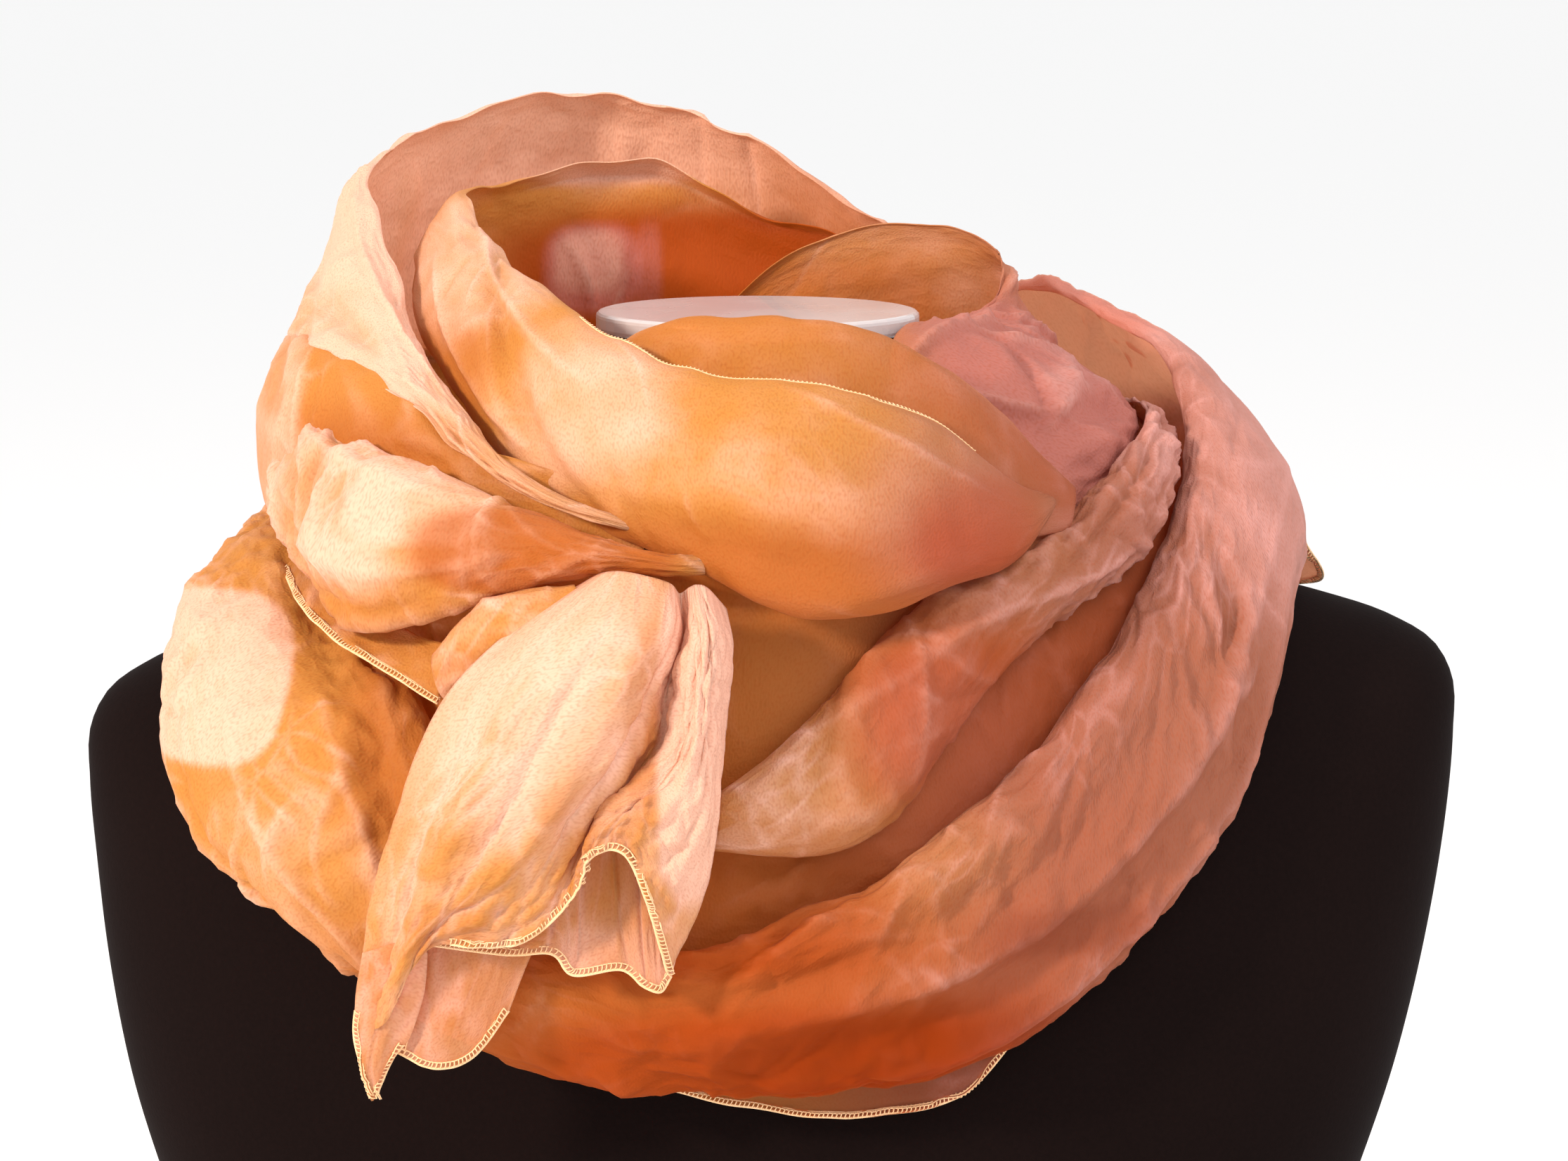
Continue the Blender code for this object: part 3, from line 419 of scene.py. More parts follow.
# Columns: piece, winding, how far edge a and edge b roll on (degrees) and how deep, pleats across and
# their depth (mm), crumple size and depth (mm), wrinkles per square decimetre, their height (mm) and
# slant from the cloth's length (degrees), scallop of the edges (mm), cover (how much of the light a
# single layer stops), how much painted light (pale) and painted shade (deep) lies all over it, the cut
# of what shows laid flat (across and along, metres), record slot, nodes it stands for.
CLOTH = (
    ("outer_loop", OUTER_RING, 15, 27, 0.5, 2.6, 1.6, 20, 1.35, 56, 1.4, 38, 1.6, 0.99, 0.1, 0,
     (0.079, 1.078), "organza_rose",
     ("outer_loop_left", "outer_loop_front", "outer_loop_right", "outer_loop_back")),
    ("middle_turn", MIDDLE_WINDING, 25, 28, 0.6, 1.6, 1.2, 15, 1.5, 60, 1.5, 50, 0.7, 0.88, 0.15, 0.05,
     (0.049, 0.886), "organza_cream", ("right_strand", "back_lower_band", "left_swag")),
    ("upper_turn", COLLAR_WINDING, 4, 12, 0.3, 1.7, 1.5, 28, 1.2, 24, 1.1, 60, 1.5, 0.82, 0.40, 0,
     (0.057, 0.507), "organza_peach", ("back_collar", "left_upper_fold")),
    ("inner_turn", INNER_WINDING, 6, 15, 0.4, 1.5, 1.3, 34, 1, 14, 0.9, 40, 1.6, 0.86, 0.1, 0,
     (0.063, 0.505), "organza_cream", ("inner_collar", "front_cowl")),
    ("right_inner", RIGHT_INNER_WINDING, 5, 5, 0.4, 1.4, 1.2, 18, 1.3, 22, 1.4, 45, 0.6, 0.84, 0, 0.1,
     (0.064, 0.262), "organza_rose", ("right_crumple", "right_back_hump")),
    ("lower_hem_flap_cloth", LOWER_HEM_FLAP, 0, 0, 0, 0.5, 0.4, 20, 0.6, 20, 0.5, 20, 0.4, 0.50, 0, 0.1,
     (0.030, 0.109), "organza_rose", ("lower_hem_flap",)),
    ("left_pocket_cloth", LEFT_POCKET, 0, 0, 0, 1.2, 1.2, 26, 1, 16, 0.9, 40, 0.8, 0.86, 0.1, 0.1,
     (0.046, 0.233), "organza_peach", ("left_pocket",)),
    ("left_inner_layer", LEFT_INNER_LAYER, 0, 0, 0, 1.4, 1.2, 14, 1.6, 60, 1.4, 60, 0.3, 0.92, 0, 0.45,
     (0.063, 0.135), "organza_deep_orange", ()),
    ("left_hem_strip_cloth", LEFT_HEM_STRIP, 0, 0, 0, 0.5, 0.4, 16, 0.6, 20, 0.5, 30, 0.3, 0.80, 0.2, 0.1,
     (0.018, 0.095), "organza_cream", ("left_hem_strip",)),
    ("cowl_flap_cloth", COWL_FLAP, 0, 0, 0, 1.4, 1, 24, 0.7, 10, 0.7, 60, 1, 0.72, 0.15, 0.1,
     (0.038, 0.160), "organza_peach", ("cowl_flap",)),
    ("right_cavity_cloth", RIGHT_CAVITY, 0, 0, 0, 1.2, 1, 20, 1.2, 20, 1, 40, 0.3, 0.94, 0, 0.65,
     (0.041, 0.280), "organza_deep_orange", ("right_cavity",)),
    ("centre_panel_cloth", CENTRE_PANEL, 0, 0, 0, 0.8, 0.5, 36, 0.5, 6, 0.5, 70, 0.3, 0.94, 0, 0.35,
     (0.052, 0.108), "organza_deep_orange", ("centre_panel",)),
    ("tail_knot_cloth", TAIL_KNOT, 15, 0, 0.5, 1, 0.8, 12, 1, 60, 1, 60, 0.3, 0.88, 0.3, 0,
     (0.019, 0.049), "organza_cream", ("tail_knot",)),
    ("tail_front", TAIL_FRONT, 0, 0, 0, 3, 0.8, 12, 1.1, 90, 1, 12, 0, 0.84, 0.35, 0,
     (0.126, 0.112), "organza_cream", ("tail_left", "tail_right")),
    ("tail_mouth", TAIL_MOUTH, 0, 0, 0, 3, 0.6, 14, 0.4, 30, 0.4, 8, 0, 0.72, 0.32, 0,
     (0.078, 0.041), "organza_peach", ("tail_lining",)),
    ("tail_lap", TAIL_LAP, 0, 0, 0, 1, 0.4, 16, 0.4, 30, 0.4, 30, 0, 0.62, 0.5, 0,
     (0.034, 0.044), "organza_peach", ()),
    ("tail_point", TAIL_POINT, 0, 0, 0, 2, 0.6, 12, 0.5, 50, 0.5, 12, 0, 0.70, 0.5, 0,
     (0.017, 0.046), "organza_peach", ()),
    ("corner_tip_cloth", CORNER_TIP, 0, 0, 0, 0.5, 0.2, 12, 0.3, 20, 0.3, 30, 0.2, 0.60, 0.9, 0,
     (0.020, 0.051), "organza_rose", ("corner_tip",)),
)

# Places painted paler (painted light: sun patches and lit faces), pinker, or deeper (painted shade in
# hollows, under folds and on layers that lie deep in the scarf), where a single layer lets more through
# (thin), or where the cloth is smoother (calm).  Columns: what it is, middle x y z, reach across, deep
# and high (mm), how soft its rim is (share of the reach), how strong it is.
TONES = {
    "outer_loop": (
        ("pale", -157, -66, -100, 25, 60, 22, 0.12, 0.72),
        ("pale", -120, -100, -150, 40, 60, 22, 0.8, 0.15),
        ("calm", 146, 16, -42, 40, 60, 40, 0.7, 0.70),
        ("painted_shade", -94, -100, -112, 22, 40, 34, 0.8, 0.45),
        ("pale", 150, 0, -50, 30, 70, 46, 0.9, 0.30),
        ("painted_shade", -24, -116, -196, 100, 60, 42, 0.9, 0.62),
        ("painted_shade", 10, -108, -204, 80, 60, 22, 0.8, 0.45),
        ("painted_shade", 96, -85, -160, 26, 60, 34, 0.9, 0.15),
        ("painted_shade", -20, -120, -160, 60, 50, 16, 0.8, 0.35),
        ("pale", 104, 84, -12, 44, 50, 34, 0.6, 0.90),
        ("thin", 104, 90, -14, 42, 44, 26, 0.6, 0.65),
        ("thin", 42, -112, -202, 54, 60, 16, 0.9, 0.70),
        ("thin", 90, -90, -166, 26, 60, 7, 0.9, 0.50),
        ("pale", 160, 20, -56, 24, 80, 50, 0.9, 0.25),
    ),
    "middle_turn": (
        ("pale", -124, -66, -50, 26, 60, 24, 0.5, 0.45),
        ("pale", -94, -90, -46, 22, 40, 10, 0.3, 0.40),
        ("painted_shade", -58, -115, -56, 38, 30, 12, 0.3, 0.60),
        ("painted_shade", -98, -105, -82, 22, 30, 14, 0.9, 0.12),
        ("pale", 10, -120, -122, 22, 40, 16, 1.2, 0.22),
        ("painted_shade", -2, -120, -142, 30, 40, 14, 0.9, 0.25),
        ("pink", 46, -100, -106, 20, 40, 20, 0.8, 0.22),
        ("painted_shade", 54, -98, -104, 30, 40, 26, 0.9, 0.75),
        ("pale", 117, 8, -36, 16, 44, 20, 0.6, 0.30),
        ("pale", 116, -20, -44, 16, 50, 16, 0.8, 0.12),
    ),
    "upper_turn": (
        ("pale", -104, 80, 44, 50, 70, 60, 0.8, 0.75),
        ("pale", -66, 110, 62, 70, 60, 40, 0.8, 0.65),
        ("pink", 50, 100, 10, 60, 60, 50, 0.8, 0.45),
        ("pale", -116, 0, 10, 20, 90, 44, 0.6, 0.45),
        ("pale", -92, -50, -16, 18, 30, 16, 0.8, 0.22),
        ("painted_shade", -60, 105, 16, 70, 60, 24, 0.8, 0.15),
    ),
    "inner_turn": (
        ("painted_shade", 6, 88, 0, 100, 30, 26, 0.5, 0.95),
        ("pale", -48, 88, 40, 36, 30, 7, 0.8, 0.65),
        ("pink", -54, 86, 5, 15, 30, 14, 0.35, 0.8),
        ("pink", -36, 86, 4, 4, 30, 14, 0.8, 0.5),
        ("pale", -55, 84, 7, 12, 30, 11, 0.6, 0.60),
        ("pale", -82, 0, 14, 26, 60, 22, 0.6, 0.45),
        ("painted_shade", -88, -34, -18, 17, 34, 22, 0.6, 0.40),
        ("pale", -48, -88, -22, 24, 40, 24, 1, 0.50),
        ("painted_shade", 4, -120, -66, 74, 40, 20, 0.9, 0.55),
        ("painted_shade", 62, -90, -52, 20, 40, 14, 0.8, 0.60),
        ("pink", 52, -100, -48, 24, 40, 18, 0.9, 0.25),
    ),
    "right_inner": (
        ("pink", 86, -10, -20, 44, 60, 40, 0.7, 0.85),
        ("pale", 90, -4, -24, 12, 40, 12, 0.8, 0.20),
        ("pale", 50, 70, 10, 50, 30, 18, 0.7, 0.30),
        ("calm", 30, 74, 0, 46, 30, 40, 0.5, 0.55),
        ("painted_shade", 20, 74, -10, 40, 30, 20, 0.7, 0.40),
    ),
    "right_cavity_cloth": (
        ("pink", 45, -100, -120, 30, 40, 24, 0.9, 0.12),
    ),
    "left_inner_layer": (
        ("pale", -112, -70, -90, 16, 40, 16, 0.5, 0.35),
    ),
    "left_pocket_cloth": (
        ("pale", -150, -24, -20, 16, 62, 50, 0.8, 0.45),
        ("painted_shade", -110, -40, -40, 34, 50, 16, 0.8, 0.35),
    ),
    "tail_knot_cloth": (
        ("painted_shade", -70, -125, -90, 20, 30, 8, 0.8, 0.30),
    ),
    "tail_front": (
        ("pale", -60, -150, -90, 30, 60, 34, 0.8, 0.40),
        ("pale", -15, -148, -104, 11, 40, 44, 0.4, 0.90),
        ("painted_shade", -29, -145, -98, 6, 40, 26, 0.5, 0.30),
        ("painted_shade", -45, -148, -128, 12, 40, 14, 0.9, 0.25),
        ("painted_shade", -84, -148, -158, 12, 40, 10, 0.9, 0.20),
    ),
    "tail_mouth": (
        ("pale", -38, -140, -166, 20, 40, 8, 0.8, 0.30),
    ),
}


# ---------------------------------------------------------------- surfaces of cloth
def path_places(rows):
    """How far along the path each row of a winding stands, measured between section middles."""
    middles = (rows[:, 0:3] + rows[:, 3:6]) / 2.0
    spans = np.maximum(np.linalg.norm(np.diff(middles, axis=0), axis=1), SHORT_STEP)
    return np.concatenate(([0.0], np.cumsum(spans)))


def through_rows(rows, places, wanted):
    """Sections at the wanted distances: every column follows a cubic through its rows."""
    slopes = np.gradient(rows, places, axis=0)
    wanted = np.clip(wanted, places[0], places[-1])
    left = np.clip(np.searchsorted(places, wanted, side="right") - 1, 0, len(places) - 2)
    length = (places[left + 1] - places[left])[:, None]
    part = (wanted - places[left])[:, None] / length
    keep = 2.0 * part**3 - 3.0 * part**2 + 1.0
    lean = part**3 - 2.0 * part**2 + part
    lean_next = part**3 - part**2
    stations = keep * rows[left] + (1.0 - keep) * rows[left + 1]
    return stations + length * (lean * slopes[left] + lean_next * slopes[left + 1])


def unit(vectors):
    """Vectors of length one."""
    return vectors / np.maximum(np.linalg.norm(vectors, axis=-1, keepdims=True), TINY)


LATTICE = 256  # seeded corners of a noise lattice, after which it repeats
NOISE_GAIN = 1.5


def smooth(part):
    """3t^2 - 2t^3, from nought to one without a corner."""
    return part * part * (3.0 - 2.0 * part)


def lattice_noise(across, along, seed, around=0):
    """Smooth noise from -1 to 1: at every whole-number corner a seeded slope, blended between the
    four corners by 6t^5 - 15t^4 + 10t^3.  around is the number of cells after which it repeats."""
    shuffle = np.random.RandomState(seed).permutation(LATTICE)
    cell_u, cell_v = np.floor(across).astype(int), np.floor(along).astype(int)
    part_u, part_v = across - cell_u, along - cell_v

    def corner(step_u, step_v):
        row = cell_v + step_v
        row = row % around if around else row
        corner_number = shuffle[(shuffle[(cell_u + step_u) % LATTICE] + row) % LATTICE]
        turn = corner_number * (2.0 * math.pi / LATTICE)
        return np.cos(turn) * (part_u - step_u) + np.sin(turn) * (part_v - step_v)

    def ease(part):
        return part * part * part * (part * (part * 6.0 - 15.0) + 10.0)

    ease_u, ease_v = ease(part_u), ease(part_v)
    near = corner(0, 0) * (1.0 - ease_u) + corner(1, 0) * ease_u
    far = corner(0, 1) * (1.0 - ease_u) + corner(1, 1) * ease_u
    return (near * (1.0 - ease_v) + far * ease_v) * NOISE_GAIN


CREASE_REACH = 4.0  # half widths within which a crease is worked out
FOLD_ROUND = 0.2  # how blunt the crest of a crisp fold is
FOLD_STEEP = 1.5
LINE_WIDTH = 1.1


def crease_height(across, along, width, length, rows):
    """Sum of ridges and troughs, and how near every point is to a crisp crest.  Each one is measured
    from its own bowed line, and falls off as a bell where it is soft, or as exp(-distance) and twice
    as steeply on one side where it is a crisp fold.  Only the part of the grid near it is worked out."""
    height, crest = np.zeros_like(across), np.zeros_like(across)
    last_v, last_u = across.shape[0] - 1, across.shape[1] - 1
    for start_u, start_v, end_u, end_v, bow, half_width, rise, crisp in rows:
        reach = CREASE_REACH * half_width + abs(bow) * width
        from_v = max(0, int((min(start_v, end_v) - reach / length) * last_v))
        to_v = min(last_v, int((max(start_v, end_v) + reach / length) * last_v) + 1) + 1
        from_u = max(0, int((min(start_u, end_u) - reach / width) * last_u))
        to_u = min(last_u, int((max(start_u, end_u) + reach / width) * last_u) + 1) + 1
        near = (slice(from_v, to_v), slice(from_u, to_u))
        line_u, line_v = (end_u - start_u) * width, (end_v - start_v) * length
        span = math.hypot(line_u, line_v)
        off_u, off_v = (across[near] - start_u) * width, (along[near] - start_v) * length
        place = (off_u * line_u + off_v * line_v) / span
        share = np.clip(place / span, 0.0, 1.0)
        side = (off_u * line_v - off_v * line_u) / span - bow * width * 4.0 * share * (1.0 - share)
        away = np.hypot(np.where(side > 0.0, side * (1.0 + crisp), side), place - share * span)
        away = away / half_width
        if crisp:
            fall = np.exp(FOLD_ROUND - np.hypot(FOLD_ROUND, FOLD_STEEP * away))
        else:
            fall = np.exp(-(away**2))
        taper = np.sqrt(np.sin(math.pi * np.clip(share, 0.02, 0.98)))
        height[near] += rise * fall * taper
        # The nearness to a crisp crest is kept; the material paints it lighter, partly doubled cloth and
        # partly painted highlight.
        if crisp and rise > 0.0:
            crest[near] = np.maximum(crest[near], np.exp(-(away * half_width / LINE_WIDTH) ** 2) * taper)
    return height, crest


WRINKLE_PATCH = 45.0
WRINKLE_FAN = math.radians(70.0)
WRINKLE_SHORTEST, WRINKLE_MORE = 10.0, 38.0
WRINKLE_THINNEST, WRINKLE_WIDER = 1.6, 2.2
WRINKLE_MIDDLE = 2.6
GROOVE_SHARE = 0.42
CROSSING_SHARE = 0.8
WRINKLE_LOWEST, WRINKLE_HIGHER, WRINKLE_BOW = 0.4, 0.9, 0.3
PATCH_LEVEL, PATCH_LEAST, PATCH_MOST, BARE_PATCH = 0.8, 0.2, 1.4, -0.25


def wrinkle_rows(width, length, density, rise, slant, seed):
    """Short crisp wrinkles strewn over a sheet in patches: a random place, a slant within half the fan
    either way, of many lengths, each a ridge or a groove, the wider the higher.  A fifth of them cross
    the others.  The rows suit crease_height."""
    count = int(density * width * length / SQUARE_DECIMETRE)
    source = np.random.RandomState(seed + 90)
    draws = source.rand(count, 8)
    busy = lattice_noise(draws[:, 0] * width / WRINKLE_PATCH, draws[:, 1] * length / WRINKLE_PATCH,
                         seed + 91)
    turn = math.radians(slant) + (draws[:, 2] - 0.5) * WRINKLE_FAN
    turn = turn * np.where(draws[:, 7] < CROSSING_SHARE, 1.0, -1.0)
    span = WRINKLE_SHORTEST + WRINKLE_MORE * draws[:, 3] ** 2
    half_width = WRINKLE_THINNEST + WRINKLE_WIDER * draws[:, 4]
    height = rise * (WRINKLE_LOWEST + WRINKLE_HIGHER * draws[:, 5])
    height = height * np.clip(PATCH_LEVEL + busy, PATCH_LEAST, PATCH_MOST)
    height = np.where(draws[:, 6] < GROOVE_SHARE, -height, height) * half_width / WRINKLE_MIDDLE
    half_u, half_v = np.sin(turn) * span / (2.0 * width), np.cos(turn) * span / (2.0 * length)
    bow = (draws[:, 5] - 0.5) * WRINKLE_BOW * span / width
    rows = np.stack((draws[:, 0] - half_u, draws[:, 1] - half_v, draws[:, 0] + half_u,
                     draws[:, 1] + half_v, bow, half_width, height, np.ones(count)), -1)
    return rows[busy > BARE_PATCH]


FACET_STEEP, FACET_SHARE, FACET_REST, FACET_DRIFT, FACET_LAYERS = 3.6, 0.75, 0.3, 0.4, 2
CRINKLE_STEEP, CRINKLE_REST, CRINKLE_DRIFT, CRINKLE_LAYERS = 2.2, 0.5, 0.6, 3
LAYER_SIZE, LAYER_RISE = 0.52, 0.45  # each layer as a share of the last


def facet_ridges(across, along, seed, around=0):
    """Straight crisp ridges: 1 - FACET_STEEP (second nearest - nearest), from the distances to the
    seeded points of a jittered lattice, held above nought."""
    spots = np.random.RandomState(seed).rand(LATTICE, 2)
    shuffle = np.random.RandomState(seed + 1).permutation(LATTICE)
    cell_u, cell_v = np.floor(across).astype(int), np.floor(along).astype(int)
    nearest = np.full(across.shape, np.inf)
    second = np.full(across.shape, np.inf)
    for step in range(9):
        place_u, place_v = cell_u + step % 3 - 1, cell_v + step // 3 - 1
        row = place_v % around if around else place_v
        spot = spots[shuffle[(shuffle[place_u % LATTICE] + row) % LATTICE]]
        away = np.hypot(place_u + spot[..., 0] - across, place_v + spot[..., 1] - along)
        second = np.where(away < nearest, nearest, np.minimum(second, away))
        nearest = np.minimum(nearest, away)
    return np.clip(1.0 - FACET_STEEP * (second - nearest), 0.0, 1.0)


def crumple(across, along, size, seed, around):
    """Crisp crinkles: rest - CRINKLE_STEEP |noise| has a sharp crest wherever the noise passes nought,
    added up for three sizes, each about half the last, with the straight ridges of two sizes of facet
    on top.  The pattern is half as long again along the cloth."""
    height = np.zeros_like(across)
    scale, rise = size, 1.0
    for layer in range(CRINKLE_LAYERS):
        cells = max(4, 2 * int(round(around / (3.0 * scale)))) if around else 0
        step = cells / around if around else 1.0 / (1.5 * scale)
        drift = lattice_noise(across / (2.0 * scale), along * (step / 2.0), seed + 40 + layer, cells // 2)
        place = across / scale + CRINKLE_DRIFT * drift
        crinkle = np.abs(lattice_noise(place, along * step, seed + layer, cells))
        height += rise * (CRINKLE_REST - CRINKLE_STEEP * crinkle)
        if layer < FACET_LAYERS:
            facets = facet_ridges(place, along * step + FACET_DRIFT * drift, seed + layer, cells)
            height += FACET_SHARE * rise * (facets - FACET_REST)
        scale, rise = scale * LAYER_SIZE, rise * LAYER_RISE
    return height


def stretch_stations(winding, closed, count):
    """The sections of a winding and the way the path travels at each of them."""
    rows = np.array(winding, dtype=float)
    extra = RING_OVERLAP if closed else 0
    if closed:
        rows = np.concatenate((rows[-extra:], rows, rows[:extra + 1]))
    places = path_places(rows)
    last = len(winding) if closed else len(winding) - 1
    wanted = np.linspace(places[extra], places[extra + last], count)
    stations = through_rows(rows, places, wanted)
    ahead = through_rows(rows, places, wanted + SHORT_STEP)
    behind = through_rows(rows, places, wanted - SHORT_STEP)
    step = (ahead[:, 0:3] + ahead[:, 3:6]) - (behind[:, 0:3] + behind[:, 3:6])
    return stations, unit(step), wanted[-1] - wanted[0]


LEAST_ALONG, LEAST_ACROSS = 12, 10
BROAD_SHARE = 80  # the grid suits the girth that this percentage of the sections stays within


def wound_surface(winding, curl_a, curl_b, curl_depth):
    """At every station the sheet goes from edge a to edge b as half an ellipse that swells out by the
    bulge, and past each edge the ellipse carries on by the curl angle, so the edge rolls inwards."""
    closed = winding is OUTER_RING
    cells_v = max(LEAST_ALONG, int(round(float(path_places(np.array(winding, dtype=float))[-1]) / CELL)))
    stations, travel, length = stretch_stations(winding, closed, cells_v + 1)
    edge_a, edge_b = stations[:, None, 0:3], stations[:, None, 3:6]
    bulge = stations[:, None, 6:7]
    gap = np.linalg.norm(stations[:, 3:6] - stations[:, 0:3], axis=1)
    girth = math.pi / 2.0 * np.sqrt(2.0 * ((gap / 2.0) ** 2 + stations[:, 6] ** 2))
    cells_u = max(LEAST_ACROSS, int(round(float(np.percentile(girth, BROAD_SHARE)) / CELL)))
    outward = unit(np.cross(stations[:, 3:6] - stations[:, 0:3], travel))[:, None, :]
    angle = np.linspace(-math.radians(curl_a), math.pi + math.radians(curl_b), cells_u + 1)
    lift = np.sin(angle)
    lift = np.where(lift < 0.0, lift * curl_depth, lift)[None, :, None]
    share = ((1.0 - np.cos(angle)) / 2.0)[None, :, None]
    return edge_a + (edge_b - edge_a) * share + outward * bulge * lift, float(np.mean(girth)), length


def net_surface(net):
    """A surface through a net of points: a cubic down every column, then a cubic along every row."""
    points = np.array(net, dtype=float)
    rows, columns = points.shape[0], points.shape[1]
    length = float(np.mean(np.linalg.norm(np.diff(points, axis=0), axis=2).sum(0)))
    width = float(np.mean(np.linalg.norm(np.diff(points, axis=1), axis=2).sum(1)))
    cells_v = max(LEAST_ALONG, int(round(NET_SLACK * length / NET_CELL)))
    cells_u = max(LEAST_ACROSS, int(round(NET_SLACK * width / NET_CELL)))
    down = through_rows(points.reshape(rows, -1), np.arange(rows, dtype=float),
                        np.linspace(0.0, rows - 1.0, cells_v + 1)).reshape(cells_v + 1, columns, 3)
    turned = np.swapaxes(down, 0, 1).reshape(columns, -1)
    full = through_rows(turned, np.arange(columns, dtype=float),
                        np.linspace(0.0, columns - 1.0, cells_u + 1))
    return np.swapaxes(full.reshape(cells_u + 1, cells_v + 1, 3), 0, 1), width, length


SWAY_LENGTH = 60.0  # how long one slow swing of the pleats is
PLEAT_REST, PLEAT_DRIFT = 0.62, 0.8
PLEAT_LEVEL, PLEAT_SWING, PLEAT_MOST = 0.55, 0.9, 1.2
CRUMPLE_LEVEL, CRUMPLE_SWING, CRUMPLE_LEAST, CRUMPLE_MOST = 0.75, 1.1, 0.25, 1.5
PATTERN_START = 40.0  # keeps the middle of a sheet off the corners of the noise


def folded(name, points, width, length, shape, seed, closed, net):
    """Moves a surface along its own normal by its creases, long pleats and crinkles, and lets its
    edges sway.  Returns the points, the height, the nearness to a crisp crest, and the places across
    and along in millimetres."""
    pleats, pleat_depth, size, depth, density, rise, slant, scallop = shape
    rows_v, rows_u = points.shape[0], points.shape[1]
    across, along = np.meshgrid(np.linspace(0.0, 1.0, rows_u), np.linspace(0.0, 1.0, rows_v))
    wide = (across - 0.5) * width + PATTERN_START
    far = along * length
    fade = 1.0
    if net:
        fade = np.clip(along * END_FADE / 2.0, 0.0, 1.0)
    elif not closed:
        fade = np.clip(np.minimum(along, 1.0 - along) * END_FADE, 0.0, 1.0)
    waves = max(2, int(round(length / SWAY_LENGTH)))
    wrap = waves if closed else 0
    drift = lattice_noise(across * 1.5, along * waves, seed + 7, wrap)
    strength = PLEAT_LEVEL + PLEAT_SWING * lattice_noise(across * 2.0 + 9.0, along * waves, seed + 8, wrap)
    pleat = PLEAT_REST - np.abs(np.sin(math.pi * (pleats * across + PLEAT_DRIFT * drift)))
    pleat = pleat * np.clip(strength, 0.0, PLEAT_MOST)
    busy = CRUMPLE_LEVEL + CRUMPLE_SWING * lattice_noise(across * 2.0 + 5.0, along * waves, seed + 5, wrap)
    around = length if closed else 0.0
    crinkles = crumple(wide, far, size, seed, around) * np.clip(busy, CRUMPLE_LEAST, CRUMPLE_MOST)
    height = pleat_depth * pleat + depth * crinkles
    rows = list(CREASES.get(name, ())) + list(wrinkle_rows(width, length, density, rise, slant, seed))
    creased, line = crease_height(across, along, width, length, rows)
    height += creased
    rim = np.clip(np.minimum(across, 1.0 - across) / RIM_CALM, 0.0, 1.0)
    height *= RIM_LEAST + (1.0 - RIM_LEAST) * smooth(rim)
    height *= 1.0 - tone_values(name, points, 0.0, 0.0)["calm"]
    normal = unit(np.cross(np.gradient(points, axis=1), np.gradient(points, axis=0)))
    if closed:
        normal[0] = normal[-1] = unit(normal[1] + normal[-2])
    sway = lattice_noise(np.where(across < 0.5, 0.3, 7.3), along * waves * 3.0, seed + 9, 3 * wrap)
    side = unit(points[:, -1:] - points[:, :1])
    edge = np.abs(2.0 * across - 1.0) ** EDGE_POWER
    points = points + normal * (height * fade)[:, :, None]
    points = points + side * (scallop * 2.0 * edge * sway * np.sign(across - 0.5) * fade)[:, :, None]
    if closed:
        points[-1] = points[0]
    return points, height, line, wide, far


def tone_values(name, points, pale, painted_shade):
    """How pale (painted light), pink, deep (painted shade) and sheer each point is: every row adds its
    strength inside a rounded block |x/rx|^3 + |y/ry|^3 + |z/rz|^3 < 1, let out smoothly over the softness of
    its rim."""
    blank = np.zeros(points.shape[:2])
    values = {"pale": blank + pale, "painted_shade": blank + painted_shade, "pink": blank, "thin": blank,
              "calm": blank}
    for kind, x, y, z, reach_x, reach_y, reach_z, soft, strength in TONES.get(name, ()):
        away = np.abs((points - (x, y, z)) / (reach_x, reach_y, reach_z))
        away = np.sum(away**3, axis=-1) ** (1.0 / 3.0)
        part = np.clip((1.0 + soft / 2.0 - away) / soft, 0.0, 1.0)
        values[kind] = values[kind] + strength * smooth(part)
    return {key: np.clip(value, 0.0, 1.0) for key, value in values.items()}


# ---------------------------------------------------------------- meshes
def mesh_object(name, vertices, faces, uv=None, values=None):
    """One smooth mesh in metres from millimetre vertices, with its UV map and point values."""
    places = np.array(vertices, dtype=float)
    places[:, 2] += CAP_LIFT
    places *= MILLIMETRE
    faces = np.asarray(faces)
    mesh = bpy.data.meshes.new(name)
    mesh.vertices.add(len(places))
    mesh.vertices.foreach_set("co", places.astype(np.float32).ravel())
    mesh.loops.add(faces.size)
    mesh.loops.foreach_set("vertex_index", faces.astype(np.int32).ravel())
    mesh.polygons.add(len(faces))
    mesh.polygons.foreach_set("loop_start", np.arange(0, faces.size, faces.shape[1], dtype=np.int32))
    mesh.update(calc_edges=True)
    mesh.polygons.foreach_set("use_smooth", np.ones(len(faces), dtype=bool))
    if uv is not None:
        layer = mesh.uv_layers.new(name="cloth_uv")
        layer.data.foreach_set("uv", np.asarray(uv, dtype=np.float32).ravel())
    for key, value in (values or {}).items():
        attribute = mesh.attributes.new(key, "FLOAT", "POINT")
        attribute.data.foreach_set("value", np.asarray(value, dtype=np.float32).ravel())
    mesh.validate()
    mesh.update()
    thing = bpy.data.objects.new(name, mesh)
    bpy.context.scene.collection.objects.link(thing)
    return thing


def grid_faces(rows, columns):
    """Quads of a grid of rows by columns of points."""
    number = np.arange(rows * columns).reshape(rows, columns)
    quads = (number[:-1, :-1], number[1:, :-1], number[1:, 1:], number[:-1, 1:])
    return np.stack(quads, -1).reshape(-1, 4)


